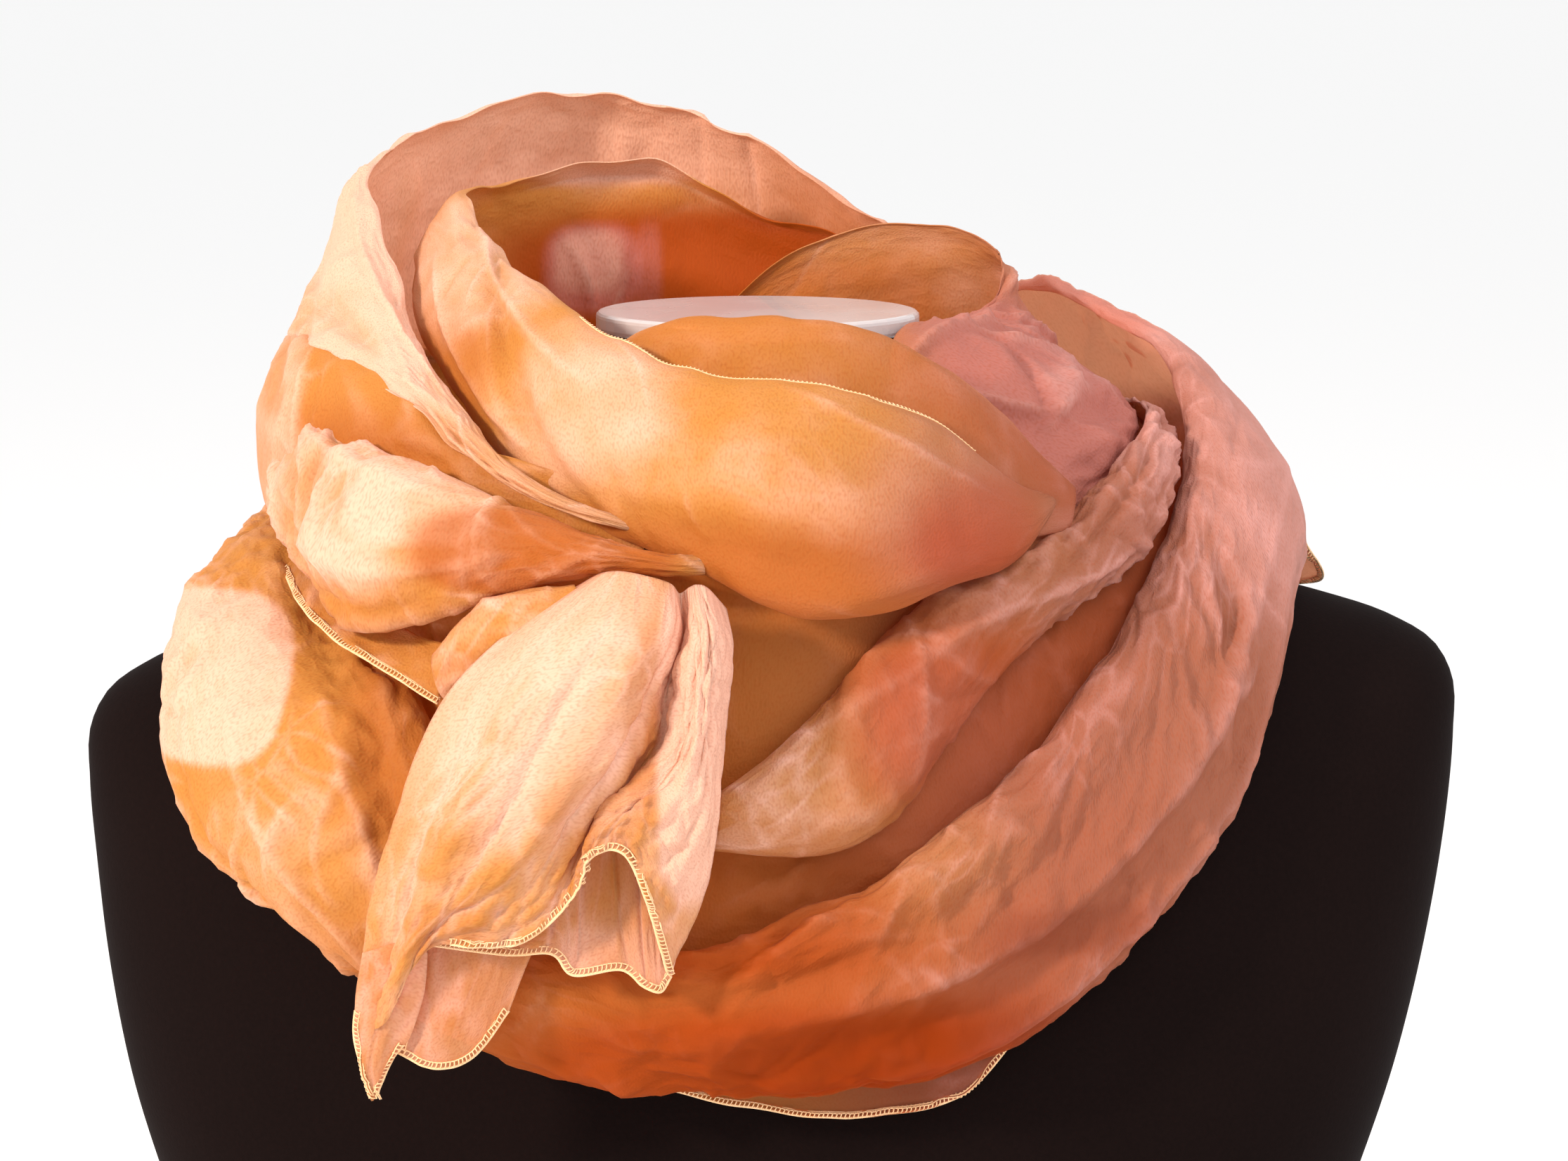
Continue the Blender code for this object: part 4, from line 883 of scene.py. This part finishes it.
def cloth_piece(row, seed):
    """One stretch of the scarf as a thin shell with its material; the parts of model.glb it stands for are
    hidden.
    """
    name, source, curl_a, curl_b, curl_depth = row[:5]
    density = row[9]
    cover, pale, painted_shade, _, slot, nodes = row[13:]
    closed = source is OUTER_RING
    net = isinstance(source[0][0], tuple)
    surface = net_surface(source) if net else wound_surface(source, curl_a, curl_b, curl_depth)
    points, height, line, wide, far = folded(name, *surface, row[5:13], seed, closed, net)
    rows, columns = points.shape[0], points.shape[1]
    number = np.arange(rows * columns).reshape(rows, columns)
    faces = grid_faces(rows, columns)
    flat_uv = np.stack((wide, far), -1).reshape(-1, 2)
    uv = flat_uv[faces.ravel()] * MILLIMETRE
    if closed:
        faces = np.where(faces >= number[-1, 0], faces - number[-1, 0], faces)
        points, height, line = points[:-1], height[:-1], line[:-1]
        rows -= 1
    across = np.broadcast_to(np.linspace(0.0, 1.0, columns), (rows, columns))
    edge = np.clip((np.abs(2.0 * across - 1.0) - 1.0 + EDGE_BAND) / EDGE_BAND, 0.0, 1.0)
    # The height of the folds from nought to one: the material paints ridges lighter (painted highlight) and
    # troughs darker (painted shade).
    spread = max(float(np.std(height)), TINY)
    crest = np.clip(0.5 + height / (4.0 * spread), 0.0, 1.0)
    values = {"edge": edge, "crest": crest, "line": line, **tone_values(name, points, pale, painted_shade)}
    piece = mesh_object(name, points.reshape(-1, 3), faces, uv, values)
    wall = piece.modifiers.new("shell", "SOLIDIFY")
    wall.thickness = SHELL * MILLIMETRE
    wall.offset = 0.0
    thin_spots = any(tone[0] == "thin" for tone in TONES.get(name, ()))
    crinkled = min(1.0, density / FULLY_CRINKLED)
    piece.data.materials.append(organza(name, cover, crinkled, cover < CLOSED_COVER or thin_spots))
    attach(piece, "root")
    if nodes:
        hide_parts(*nodes)
    return piece, points


# ---------------------------------------------------------------- sewn hems
# Columns: hem, the cloth it edges, which edge of its grid (a, b, or end), from and to along that edge,
# how many cells of the grid it lies in from the edge.
HEMS = (
    ("hem_cowl", "inner_turn", "a", 0.642, 0.918, 5),
    ("hem_left_strip", "left_hem_strip_cloth", "b", 0.0, 1.0, 0),
    ("hem_lower_flap", "lower_hem_flap_cloth", "b", 0.02, 0.99, 0),
    ("hem_corner", "corner_tip_cloth", "b", 0.0, 1.0, 0),
    ("hem_tail_front", "tail_front", "end", 0.285, 1.0, 0),
    ("hem_tail_mouth", "tail_mouth", "end", 0.0, 1.0, 0),
    ("hem_tail_lap", "tail_lap", "end", 0.0, 1.0, 0),
    ("hem_tail_lap_inner", "tail_lap", "a", 0.05, 1.0, 0),
    ("hem_tail_point_left", "tail_point", "a", 0.35, 1.0, 0),
    ("hem_tail_point_right", "tail_point", "b", 0.60, 1.0, 0),
)
HEM_STEP = 0.8  # from one place on the edge to the next
HEM_BEAD = 0.42  # radius of the rolled edge
BEAD_FLATNESS = 0.85
BEAD_INSET = 0.15
HEM_THREAD = 0.19  # radius of the thread
HEM_WIDTH = 1.9  # how far in the thread beside the edge runs
THREAD_LIFT = 0.35
HEM_PITCH = 1.25  # from one stitch to the next
# Where a stitch starts, bends and ends: how far in, how far along the edge, how high over the cloth.
STITCH_IN = (0.3, 0.5 * HEM_WIDTH, HEM_WIDTH + 0.15)
STITCH_LEAN = (-0.25, 0.1, 0.35)
STITCH_LIFT = (0.8 * HEM_BEAD, 0.62, 0.5)
BEAD_SIDES, THREAD_SIDES = 8, 6
# Quads that close the first and the last ring of a stitch.
STITCH_CAPS = ((0, (0, 3, 2, 1)), (0, (0, 5, 4, 3)), (2, (0, 1, 2, 3)), (2, (0, 3, 4, 5)))
FLIPPED = [0, 3, 2, 1]  # the corners of a quad as seen from its other side


def edge_line(points, edge, start, end, inset):
    """The places along one edge of a grid, evenly HEM_STEP apart, with the way into the cloth."""
    line = points[-1] if edge == "end" else points[:, inset if edge == "a" else -1 - inset]
    inner = points[-3] if edge == "end" else points[:, 2 + inset if edge == "a" else -3 - inset]
    first, last = int(round(start * (len(line) - 1))), int(round(end * (len(line) - 1)))
    line, inner = line[first:last + 1], inner[first:last + 1]
    far = np.concatenate(([0.0], np.cumsum(np.linalg.norm(np.diff(line, axis=0), axis=1))))
    wanted = np.linspace(0.0, far[-1], max(4, int(round(far[-1] / HEM_STEP)) + 1))
    line = np.stack([np.interp(wanted, far, line[:, axis]) for axis in range(3)], -1)
    inner = np.stack([np.interp(wanted, far, inner[:, axis]) for axis in range(3)], -1)
    way = unit(np.gradient(line, axis=0))
    into = inner - line
    into = unit(into - way * np.sum(into * way, axis=1, keepdims=True))
    return line, way, into


def tube_faces(rings, around):
    """Quads of a tube of rings of points, with a row of quads over each end."""
    number = np.arange(rings * around).reshape(rings, around)
    ahead = np.roll(number, -1, axis=1)
    wall = np.stack((number[:-1], number[1:], ahead[1:], ahead[:-1]), -1).reshape(-1, 4)
    steps = np.arange(around // 2 - 1)
    first = np.stack((steps, steps + 1, around - 2 - steps, around - 1 - steps), -1)
    return np.concatenate((wall, first, number[-1, 0] + first[:, FLIPPED]))


def tube(line, side, up, wide, tall, around):
    """A tube along a line: at every place an ellipse wide by tall, set out along side and up."""
    turn = np.linspace(0.0, 2.0 * math.pi, around, endpoint=False)[None, :, None]
    ring = side[:, None, :] * wide * np.cos(turn) + up[:, None, :] * tall * np.sin(turn)
    return (line[:, None, :] + ring).reshape(-1, 3), tube_faces(len(line), around)


def hem_piece(name, points, edge, start, end, inset):
    """An overlocked rolled hem: a rounded bead on the edge, a thread that runs beside it, and a short
    stitch across from one to the other every HEM_PITCH, leaning a little along the edge."""
    line, way, into = edge_line(points, edge, start, end, inset)
    up = unit(np.cross(way, into))
    parts = [tube(line + BEAD_INSET * into, into, up, HEM_BEAD, HEM_BEAD * BEAD_FLATNESS, BEAD_SIDES)]
    for face in (1.0, -1.0):
        beside = line + HEM_WIDTH * into + face * THREAD_LIFT * up
        parts.append(tube(beside, into, up, HEM_THREAD, HEM_THREAD, THREAD_SIDES))
    count = max(3, int(HEM_STEP * (len(line) - 1) / HEM_PITCH))
    spots = np.linspace(0.5, len(line) - 1.5, count)
    low = spots.astype(int)
    share = (spots - low)[:, None]
    middle = (line[low] * (1.0 - share) + line[low + 1] * share)[:, None, :]
    ways, inward, upward = way[low][:, None, :], into[low][:, None, :], up[low][:, None, :]
    reach, lean, lift = (np.array(column)[None, :, None] for column in (STITCH_IN, STITCH_LEAN, STITCH_LIFT))
    turn = np.linspace(0.0, 2.0 * math.pi, THREAD_SIDES, endpoint=False)[None, :, None]
    ring = HEM_THREAD * (ways * np.cos(turn) + upward * np.sin(turn))
    number = np.arange(count * 3 * THREAD_SIDES).reshape(count, 3, THREAD_SIDES)
    ahead = np.roll(number, -1, axis=2)
    wall = np.stack((number[:, :-1], ahead[:, :-1], ahead[:, 1:], number[:, 1:]), -1).reshape(-1, 4)
    stitches = np.concatenate([wall] + [number[:, ring_row][:, corners] for ring_row, corners in STITCH_CAPS])
    for face in (1.0, -1.0):
        centre = middle + inward * reach + ways * lean + upward * (face * lift)
        vertices = centre[:, :, None, :] + ring[:, None, :, :]
        parts.append((vertices.reshape(-1, 3), stitches))
    shift, vertices, faces = 0, [], []
    for part_vertices, part_faces in parts:
        vertices.append(part_vertices)
        faces.append(part_faces + shift)
        shift += len(part_vertices)
    return mesh_object(name, np.concatenate(vertices), np.concatenate(faces))


# ---------------------------------------------------------------- shader maths
class Socket:
    """A node socket that can be used in Python sums: each operator adds a Math node."""

    def __init__(self, tree, link):
        self.tree = tree
        self.link = link

    def _math(self, operation, first, second=None):
        node = self.tree.nodes.new("ShaderNodeMath")
        node.operation = operation
        for place, value in enumerate((first, second)):
            if isinstance(value, Socket):
                self.tree.links.new(value.link, node.inputs[place])
            elif value is not None:
                node.inputs[place].default_value = value
        return Socket(self.tree, node.outputs[0])

    def __add__(self, other):
        return self._math("ADD", self, other)

    __radd__ = __add__

    def __mul__(self, other):
        return self._math("MULTIPLY", self, other)

    __rmul__ = __mul__

    def __sub__(self, other):
        return self._math("SUBTRACT", self, other)

    def __rsub__(self, other):
        return self._math("SUBTRACT", other, self)

    def abs(self):
        return self._math("ABSOLUTE", self)


class Shader:
    """A material's node tree, with one method that adds any node."""

    def __init__(self, name):
        self.material = bpy.data.materials.new(name)
        self.material.use_nodes = True
        self.tree = self.material.node_tree
        self.tree.nodes.clear()

    def node(self, kind, settings=None, output=0, **values):
        """Adds a node of this type, sets its settings, then links or fills the named sockets."""
        node = self.tree.nodes.new(kind)
        for key, value in (settings or {}).items():
            setattr(node, key, value)
        for key, value in values.items():
            name, _, number = key.partition("__")
            name = name.replace("_", " ")
            found = [s for s in node.inputs if s.name == name and s.enabled]
            socket = found[int(number) if number else 0]
            if isinstance(value, Socket):
                self.tree.links.new(value.link, socket)
            else:
                socket.default_value = value
        return Socket(self.tree, node.outputs[output])

    def places(self):
        """Object coordinates, in metres."""
        return self.node("ShaderNodeTexCoord", output=3)

    def cloth_uv(self):
        """The cloth's own map: metres across and along it."""
        return self.node("ShaderNodeUVMap", {"uv_map": "cloth_uv"})

    def value(self, key):
        """A value that the mesh carries at its points."""
        return self.node("ShaderNodeAttribute", {"attribute_name": key}, output=2)

    def noise(self, vector, scale, detail=2.0, roughness=0.5):
        """Noise from nought to one."""
        return self.node("ShaderNodeTexNoise", Vector=vector, Scale=scale, Detail=detail,
                         Roughness=roughness)

    def blend(self, factor, first, second):
        """One colour blended into another."""
        node = self.tree.nodes.new("ShaderNodeMix")
        node.data_type = "RGBA"
        for place, value in ((0, factor), (6, first), (7, second)):
            if isinstance(value, Socket):
                self.tree.links.new(value.link, node.inputs[place])
            elif place == 0:
                node.inputs[place].default_value = value
            else:
                node.inputs[place].default_value = (*value, 1.0)
        return Socket(self.tree, node.outputs[2])

    def between(self, value, low, high, to_low=0.0, to_high=1.0):
        """A value carried smoothly from one range to another, and held at its ends."""
        return self.node("ShaderNodeMapRange", {"interpolation_type": "SMOOTHSTEP"}, Value=value,
                         From_Min=low, From_Max=high, To_Min=to_low, To_Max=to_high)

    def mixed(self, factor, first, second):
        """Two surfaces mixed: all of the first at nought, all of the second at one."""
        return self.node("ShaderNodeMixShader", Fac=factor, Shader=first, Shader__1=second)

    def finish(self, surface):
        """Sends the surface to the output."""
        out = self.tree.nodes.new("ShaderNodeOutputMaterial")
        self.tree.links.new(surface.link, out.inputs["Surface"])
        return self.material


# ---------------------------------------------------------------- materials
# CREAM and ROSE_PALE are the colours of painted highlights, EMBER the colour of painted shade and of the
# darker grains of the weave, PEACH and ROSE the dye, the rose also darker as painted shade.
PEACH = (0.62, 0.285, 0.062)
CREAM = (0.93, 0.61, 0.45)
ROSE = (0.39, 0.146, 0.085)
ROSE_PALE = (0.72, 0.38, 0.33)
PINK = (0.54, 0.20, 0.165)
EMBER = (0.39, 0.064, 0.004)
GLOW_WARM = (0.92, 0.43, 0.09)
GLOW_ROSE = (0.72, 0.24, 0.09)
GLOW_PALE = (0.94, 0.62, 0.42)
CLEAR_TINT = (1.0, 0.66, 0.48)


# The colour turns from peach to rose between two places from left to right, in metres: partly dye, and
# partly painted shade, the rose being darker as the shaded right side.  Slow clouds push that line
# about, and it leans with the height over the shoulders.
DYE_AND_SHADE_FROM, DYE_AND_SHADE_TO = -0.02, 0.105
DYE_AND_SHADE_CLOUDS, DYE_AND_SHADE_LEAN, SHOULDER_HEIGHT = 0.09, 0.25, 0.33

# Sizes of the patterns: how many there are to a metre.
CLOUDS, MOTTLES, PATCHES, WANDERS, FACETS, CRINKLES, GRAINS = 14.0, 60.0, 30.0, 45.0, 110.0, 120.0, 1500.0
FACET_WANDER = (0.022, 0.022, 0.0)
FACET_LINE = 0.18
ALONG_STRETCH, ALONG_TURN = (1.5, 0.5, 1.0), (0.0, 0.0, 0.4)
PATCH_FROM, PATCH_TO = 0.40, 0.60

# How much paler the cloth is at mottles (tone that differs at random), at crests (painted highlight, with
# painted shade in the troughs), and along crisp fold lines and facet lines (partly doubled cloth, partly
# painted highlight).
MOTTLE_LIGHT, CREST_HIGHLIGHT_AND_SHADE, FOLD_LINE_DOUBLING_AND_HIGHLIGHT, FACET_DOUBLING_AND_HIGHLIGHT = 0.5, 0.4, 0.16, 0.22
# How much the painted shade takes off the painted light.
EMBER_SHADE = 0.8
GRAIN_FROM, GRAIN_TO, GRAIN_MOST = 0.4, 0.8, 0.26
GRAIN_RISE, CRINKLE_RISE, RELIEF_HEIGHT = 0.12, 0.4, 0.0014

# How much of the cloth's light goes through it, and by how much that glow turns paler with the painted light
# (pale).
GLOW_SHARE, PALE_GLOW_SHARE = 0.35, 0.8
EDGE_CLOSES, THIN_OPENS = 0.7, 0.66


def organza(name, cover, crinkled, sheer):
    """Plain-woven silk: peach on the left, dusty rose on the right (the rose partly painted shade), with
    painted light where it is pale, on its crests and along its fold and facet lines, painted shade where it
    is deep and in its troughs, and fine crisp crinkles where crinkled is near one.  Part of the light goes
    through where it is sheer."""
    s = Shader("organza_" + name)
    place, uv = s.places(), s.cloth_uv()
    x = s.node("ShaderNodeSeparateXYZ", output=0, Vector=place)
    z = s.node("ShaderNodeSeparateXYZ", output=2, Vector=place)
    # Peach on the left to rose on the right: partly dye, partly painted shade on the right side and lower
    # down.
    cloud = s.noise(place, CLOUDS, 1.0)
    line = x + DYE_AND_SHADE_CLOUDS * (cloud - 0.5) - DYE_AND_SHADE_LEAN * (z - SHOULDER_HEIGHT)
    side = s.between(line, DYE_AND_SHADE_FROM, DYE_AND_SHADE_TO)
    mottle = s.noise(place, MOTTLES, 3.0, 0.6)
    pale, pink, painted_shade = s.value("pale"), s.value("pink"), s.value("painted_shade")

    stretched = s.node("ShaderNodeMapping", Vector=uv, Scale=ALONG_STRETCH, Rotation=ALONG_TURN)
    wander = s.node("ShaderNodeTexNoise", output=1, Vector=uv, Scale=WANDERS, Detail=0.0)
    bent = s.node("ShaderNodeVectorMath", {"operation": "MULTIPLY_ADD"}, Vector=wander,
                  Vector__1=FACET_WANDER, Vector__2=stretched)
    # Lines of the crinkle facets, painted paler: partly doubled cloth, partly painted highlight.
    cells = s.node("ShaderNodeTexVoronoi", {"feature": "DISTANCE_TO_EDGE"}, Vector=bent, Scale=FACETS)
    patchy = s.between(s.noise(uv, PATCHES, 0.0), PATCH_FROM, PATCH_TO, 0.0, crinkled)
    facets = s.between(cells, 0.0, FACET_LINE, 1.0, 0.0) * patchy * (1.0 - s.value("calm"))

    # Painted light: the pale tone, crests lighter and troughs darker, crisp fold and facet lines lighter,
    # with a random mottle; painted shade takes it down, and it turns the colour toward cream or pale rose.
    light = pale + MOTTLE_LIGHT * (mottle - 0.5) + CREST_HIGHLIGHT_AND_SHADE * (s.value("crest") - 0.5)
    light = light + FOLD_LINE_DOUBLING_AND_HIGHLIGHT * s.value("line") + FACET_DOUBLING_AND_HIGHLIGHT * facets
    light = light * (1.0 - EMBER_SHADE * painted_shade * (1.0 - pink))
    grain = s.noise(uv, GRAINS, 0.0)
    # Painted shade turns the colour toward deep orange where the cloth lies deep, then pink patches toward
    # pink.
    colour = s.blend(painted_shade, s.blend(side, PEACH, ROSE), EMBER)
    colour = s.blend(pink, colour, PINK)
    colour = s.blend(s.between(light, 0.0, 1.0), colour, s.blend(side, CREAM, ROSE_PALE))
    colour = s.blend(s.between(grain, GRAIN_FROM, GRAIN_TO, 0.0, GRAIN_MOST), colour, EMBER)

    crinkle = (s.noise(stretched, CRINKLES, 1.0) - 0.5).abs()
    relief = GRAIN_RISE * grain - (CRINKLE_RISE + crinkled) * crinkle
    bump = s.node("ShaderNodeBump", Strength=1.0, Distance=RELIEF_HEIGHT, Height=relief)
    cloth = s.node("ShaderNodeBsdfPrincipled", Base_Color=colour, Roughness=0.6, Normal=bump,
                   Specular_IOR_Level=0.12, Sheen_Weight=0.03, Sheen_Roughness=0.4)
    warm, rose, pale_glow = (s.node("ShaderNodeBsdfTranslucent", Color=(*tone, 1.0))
                         for tone in (GLOW_WARM, GLOW_ROSE, GLOW_PALE))
    glow = s.mixed(side, warm, rose)
    # The glow turns paler where the painted light is.
    glow = s.mixed(PALE_GLOW_SHARE * pale, glow, pale_glow)
    body = s.mixed(GLOW_SHARE, cloth, glow)
    if not sheer:
        return s.finish(body)
    clear = s.node("ShaderNodeBsdfTransparent", Color=(*CLEAR_TINT, 1.0))
    full = cover + (1.0 - cover) * EDGE_CLOSES * s.value("edge") - THIN_OPENS * s.value("thin")
    return s.finish(s.mixed(full, clear, body))


def jersey():
    """Black knitted cover: a fine even grain over a slow unevenness."""
    s = Shader("black_jersey")
    place = s.places()
    fuzz = s.noise(place, 700.0, 3.0, 0.6)
    slow = s.noise(place, 9.0, 2.0)
    colour = s.blend(0.35 * fuzz + 0.4 * slow, (0.0020, 0.0009, 0.0008), (0.012, 0.0055, 0.0048))
    bump = s.node("ShaderNodeBump", Strength=0.3, Distance=0.0004, Height=fuzz)
    return s.finish(s.node("ShaderNodeBsdfPrincipled", Base_Color=colour, Roughness=0.85, Normal=bump,
                           Specular_IOR_Level=0.05))


def cap_plastic():
    """White gloss plastic with faint scuffs."""
    s = Shader("white_cap")
    place = s.places()
    scuff = s.noise(place, 30.0, 3.0, 0.5)
    colour = s.blend(0.5 * scuff, (0.53, 0.48, 0.47), (0.50, 0.45, 0.44))
    rough = s.between(scuff, 0.3, 0.8, 0.24, 0.34)
    return s.finish(s.node("ShaderNodeBsdfPrincipled", Base_Color=colour, Roughness=rough,
                           Coat_Weight=0.4))


def hem_thread():
    """Pale cream thread with a twist along it."""
    s = Shader("hem_thread")
    place = s.places()
    tone = s.noise(place, 120.0, 2.0)
    twist = s.node("ShaderNodeTexWave", {"wave_type": "BANDS", "bands_direction": "DIAGONAL"},
                   Vector=place, Scale=900.0, Distortion=1.0)
    colour = s.blend(tone, (0.88, 0.50, 0.20), (0.93, 0.66, 0.40))
    bump = s.node("ShaderNodeBump", Strength=0.4, Distance=0.0003, Height=twist)
    return s.finish(s.node("ShaderNodeBsdfPrincipled", Base_Color=colour, Roughness=0.6, Normal=bump,
                           Sheen_Weight=0.2))


def pale_floor():
    """Plain pale studio floor."""
    s = Shader("pale_floor")
    return s.finish(s.node("ShaderNodeBsdfPrincipled", Base_Color=(0.93, 0.93, 0.93, 1.0), Roughness=0.9))


# ---------------------------------------------------------------- pieces
FORM_POINTS = 128
FORM_LEVELS = 110
FORM_END_RINGS = 6
FORM_END_HOLE = 0.02  # the last ring, as a share of the end, before flat faces close it
SHOULDER_TILT = 0.036
SHOULDER_SHIFT = 4.0


def superellipse(half_width, half_depth, power, count):
    """Points round an outline |x/w|^p + |y/d|^p = 1, anticlockwise from +X."""
    turn = np.linspace(0.0, 2.0 * math.pi, count, endpoint=False)
    across = half_width * np.sign(np.cos(turn)) * np.abs(np.cos(turn)) ** (2.0 / power)
    deep = half_depth * np.sign(np.sin(turn)) * np.abs(np.sin(turn)) ** (2.0 / power)
    return across, deep


def form_cover():
    """The form in its jersey: rounded outlines from the base up to the neck, read from the rows by a
    cubic, the shoulders tilted a little."""
    rows = np.array(FORM_ROWS, dtype=float)
    steps = np.linalg.norm(np.diff(rows[:, 0:3], axis=0), axis=1)
    places = np.concatenate(([0.0], np.cumsum(steps)))
    levels = through_rows(rows, places, np.linspace(0.0, places[-1], FORM_LEVELS))
    rings = []
    for height, half_width, half_depth, shift, power, drop in levels:
        across, deep = superellipse(half_width, half_depth, power, FORM_POINTS)
        level = height + drop * SHOULDER_TILT * across
        rings.append(np.stack((across + drop * SHOULDER_SHIFT, deep + shift, level), -1))
    rings = np.array(rings)
    shrink = np.linspace(FORM_END_HOLE, 1.0, FORM_END_RINGS, endpoint=False)[:, None, None]
    low = rings[0].mean(axis=0) + (rings[0] - rings[0].mean(axis=0)) * shrink
    top = rings[-1].mean(axis=0) + (rings[-1] - rings[-1].mean(axis=0)) * shrink[::-1]
    rings = np.concatenate((low, rings, top))
    faces = tube_faces(len(rings), FORM_POINTS)[:, FLIPPED]
    return mesh_object("form_cover", rings.reshape(-1, 3), faces)


# ---------------------------------------------------------------- camera
def facing(place, aim):
    """The turn with which a camera or a lamp at one place looks at another."""
    way = np.array(aim) - np.array(place)
    return math.atan2(math.hypot(way[0], way[1]), -way[2]), 0.0, math.atan2(-way[0], way[1])


lens = bpy.data.cameras.new("camera")
lens.lens = CAMERA_LENS
lens.sensor_width = SENSOR
lens.clip_end = 100.0
camera = bpy.data.objects.new("camera", lens)
camera.location = CAMERA_PLACE
camera.rotation_euler = facing(CAMERA_PLACE, CAMERA_AIM)
bpy.context.scene.collection.objects.link(camera)
bpy.context.scene.camera = camera

# ---------------------------------------------------------------- the part
grids = {}
cloths = {}
for number, row in enumerate(CLOTH):
    cloths[row[0]], grids[row[0]] = cloth_piece(row, 11 * number + 3)
thread = hem_thread()
hems = {}
for name, owner, *place in HEMS:
    hem = hem_piece(name, grids[owner], *place)
    hem.data.materials.append(thread)
    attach(hem, "root")
    hems.setdefault(owner, []).append(hem)

cover = form_cover()
cover.data.materials.append(jersey())
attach(cover, "root")
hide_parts("form_body")
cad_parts["neck_cap"].data.materials.clear()
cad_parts["neck_cap"].data.materials.append(cap_plastic())

# ---------------------------------------------------------------- studio
FLOOR_REACH = 40000.0
FLOOR_LEVEL = -400.5
# Lamps: name, place and what it faces (metres), side of its square (metres), watts, colour.
LAMPS = (
    ("key", (-1.3, -1.1, 1.05), (0.0, 0.0, 0.3), 0.22, 33.0, (1.0, 0.82, 0.70)),
    ("fill", (0.9, -0.8, 1.6), (0.05, 0.0, 0.35), 1.2, 18.0, (1.0, 0.90, 0.92)),
)

corners = [(turn_x * FLOOR_REACH, turn_y * FLOOR_REACH, FLOOR_LEVEL)
           for turn_x, turn_y in ((-1, -1), (1, -1), (1, 1), (-1, 1))]
floor = mesh_object("floor", corners, [(0, 1, 2, 3)])
floor.data.materials.append(pale_floor())

world = bpy.data.worlds.new("studio")
bpy.context.scene.world = world
world.use_nodes = True
world.node_tree.nodes["Background"].inputs[0].default_value = (1.0, 1.0, 1.0, 1.0)
world.node_tree.nodes["Background"].inputs[1].default_value = 1.0
for name, place, aim, size, energy, colour in LAMPS:
    light = bpy.data.lights.new(name, "AREA")
    light.size = size
    light.energy = energy
    light.color = colour
    lamp = bpy.data.objects.new(name, light)
    lamp.location = place
    lamp.rotation_euler = facing(place, aim)
    bpy.context.scene.collection.objects.link(lamp)
bpy.context.scene.view_settings.view_transform = "Standard"
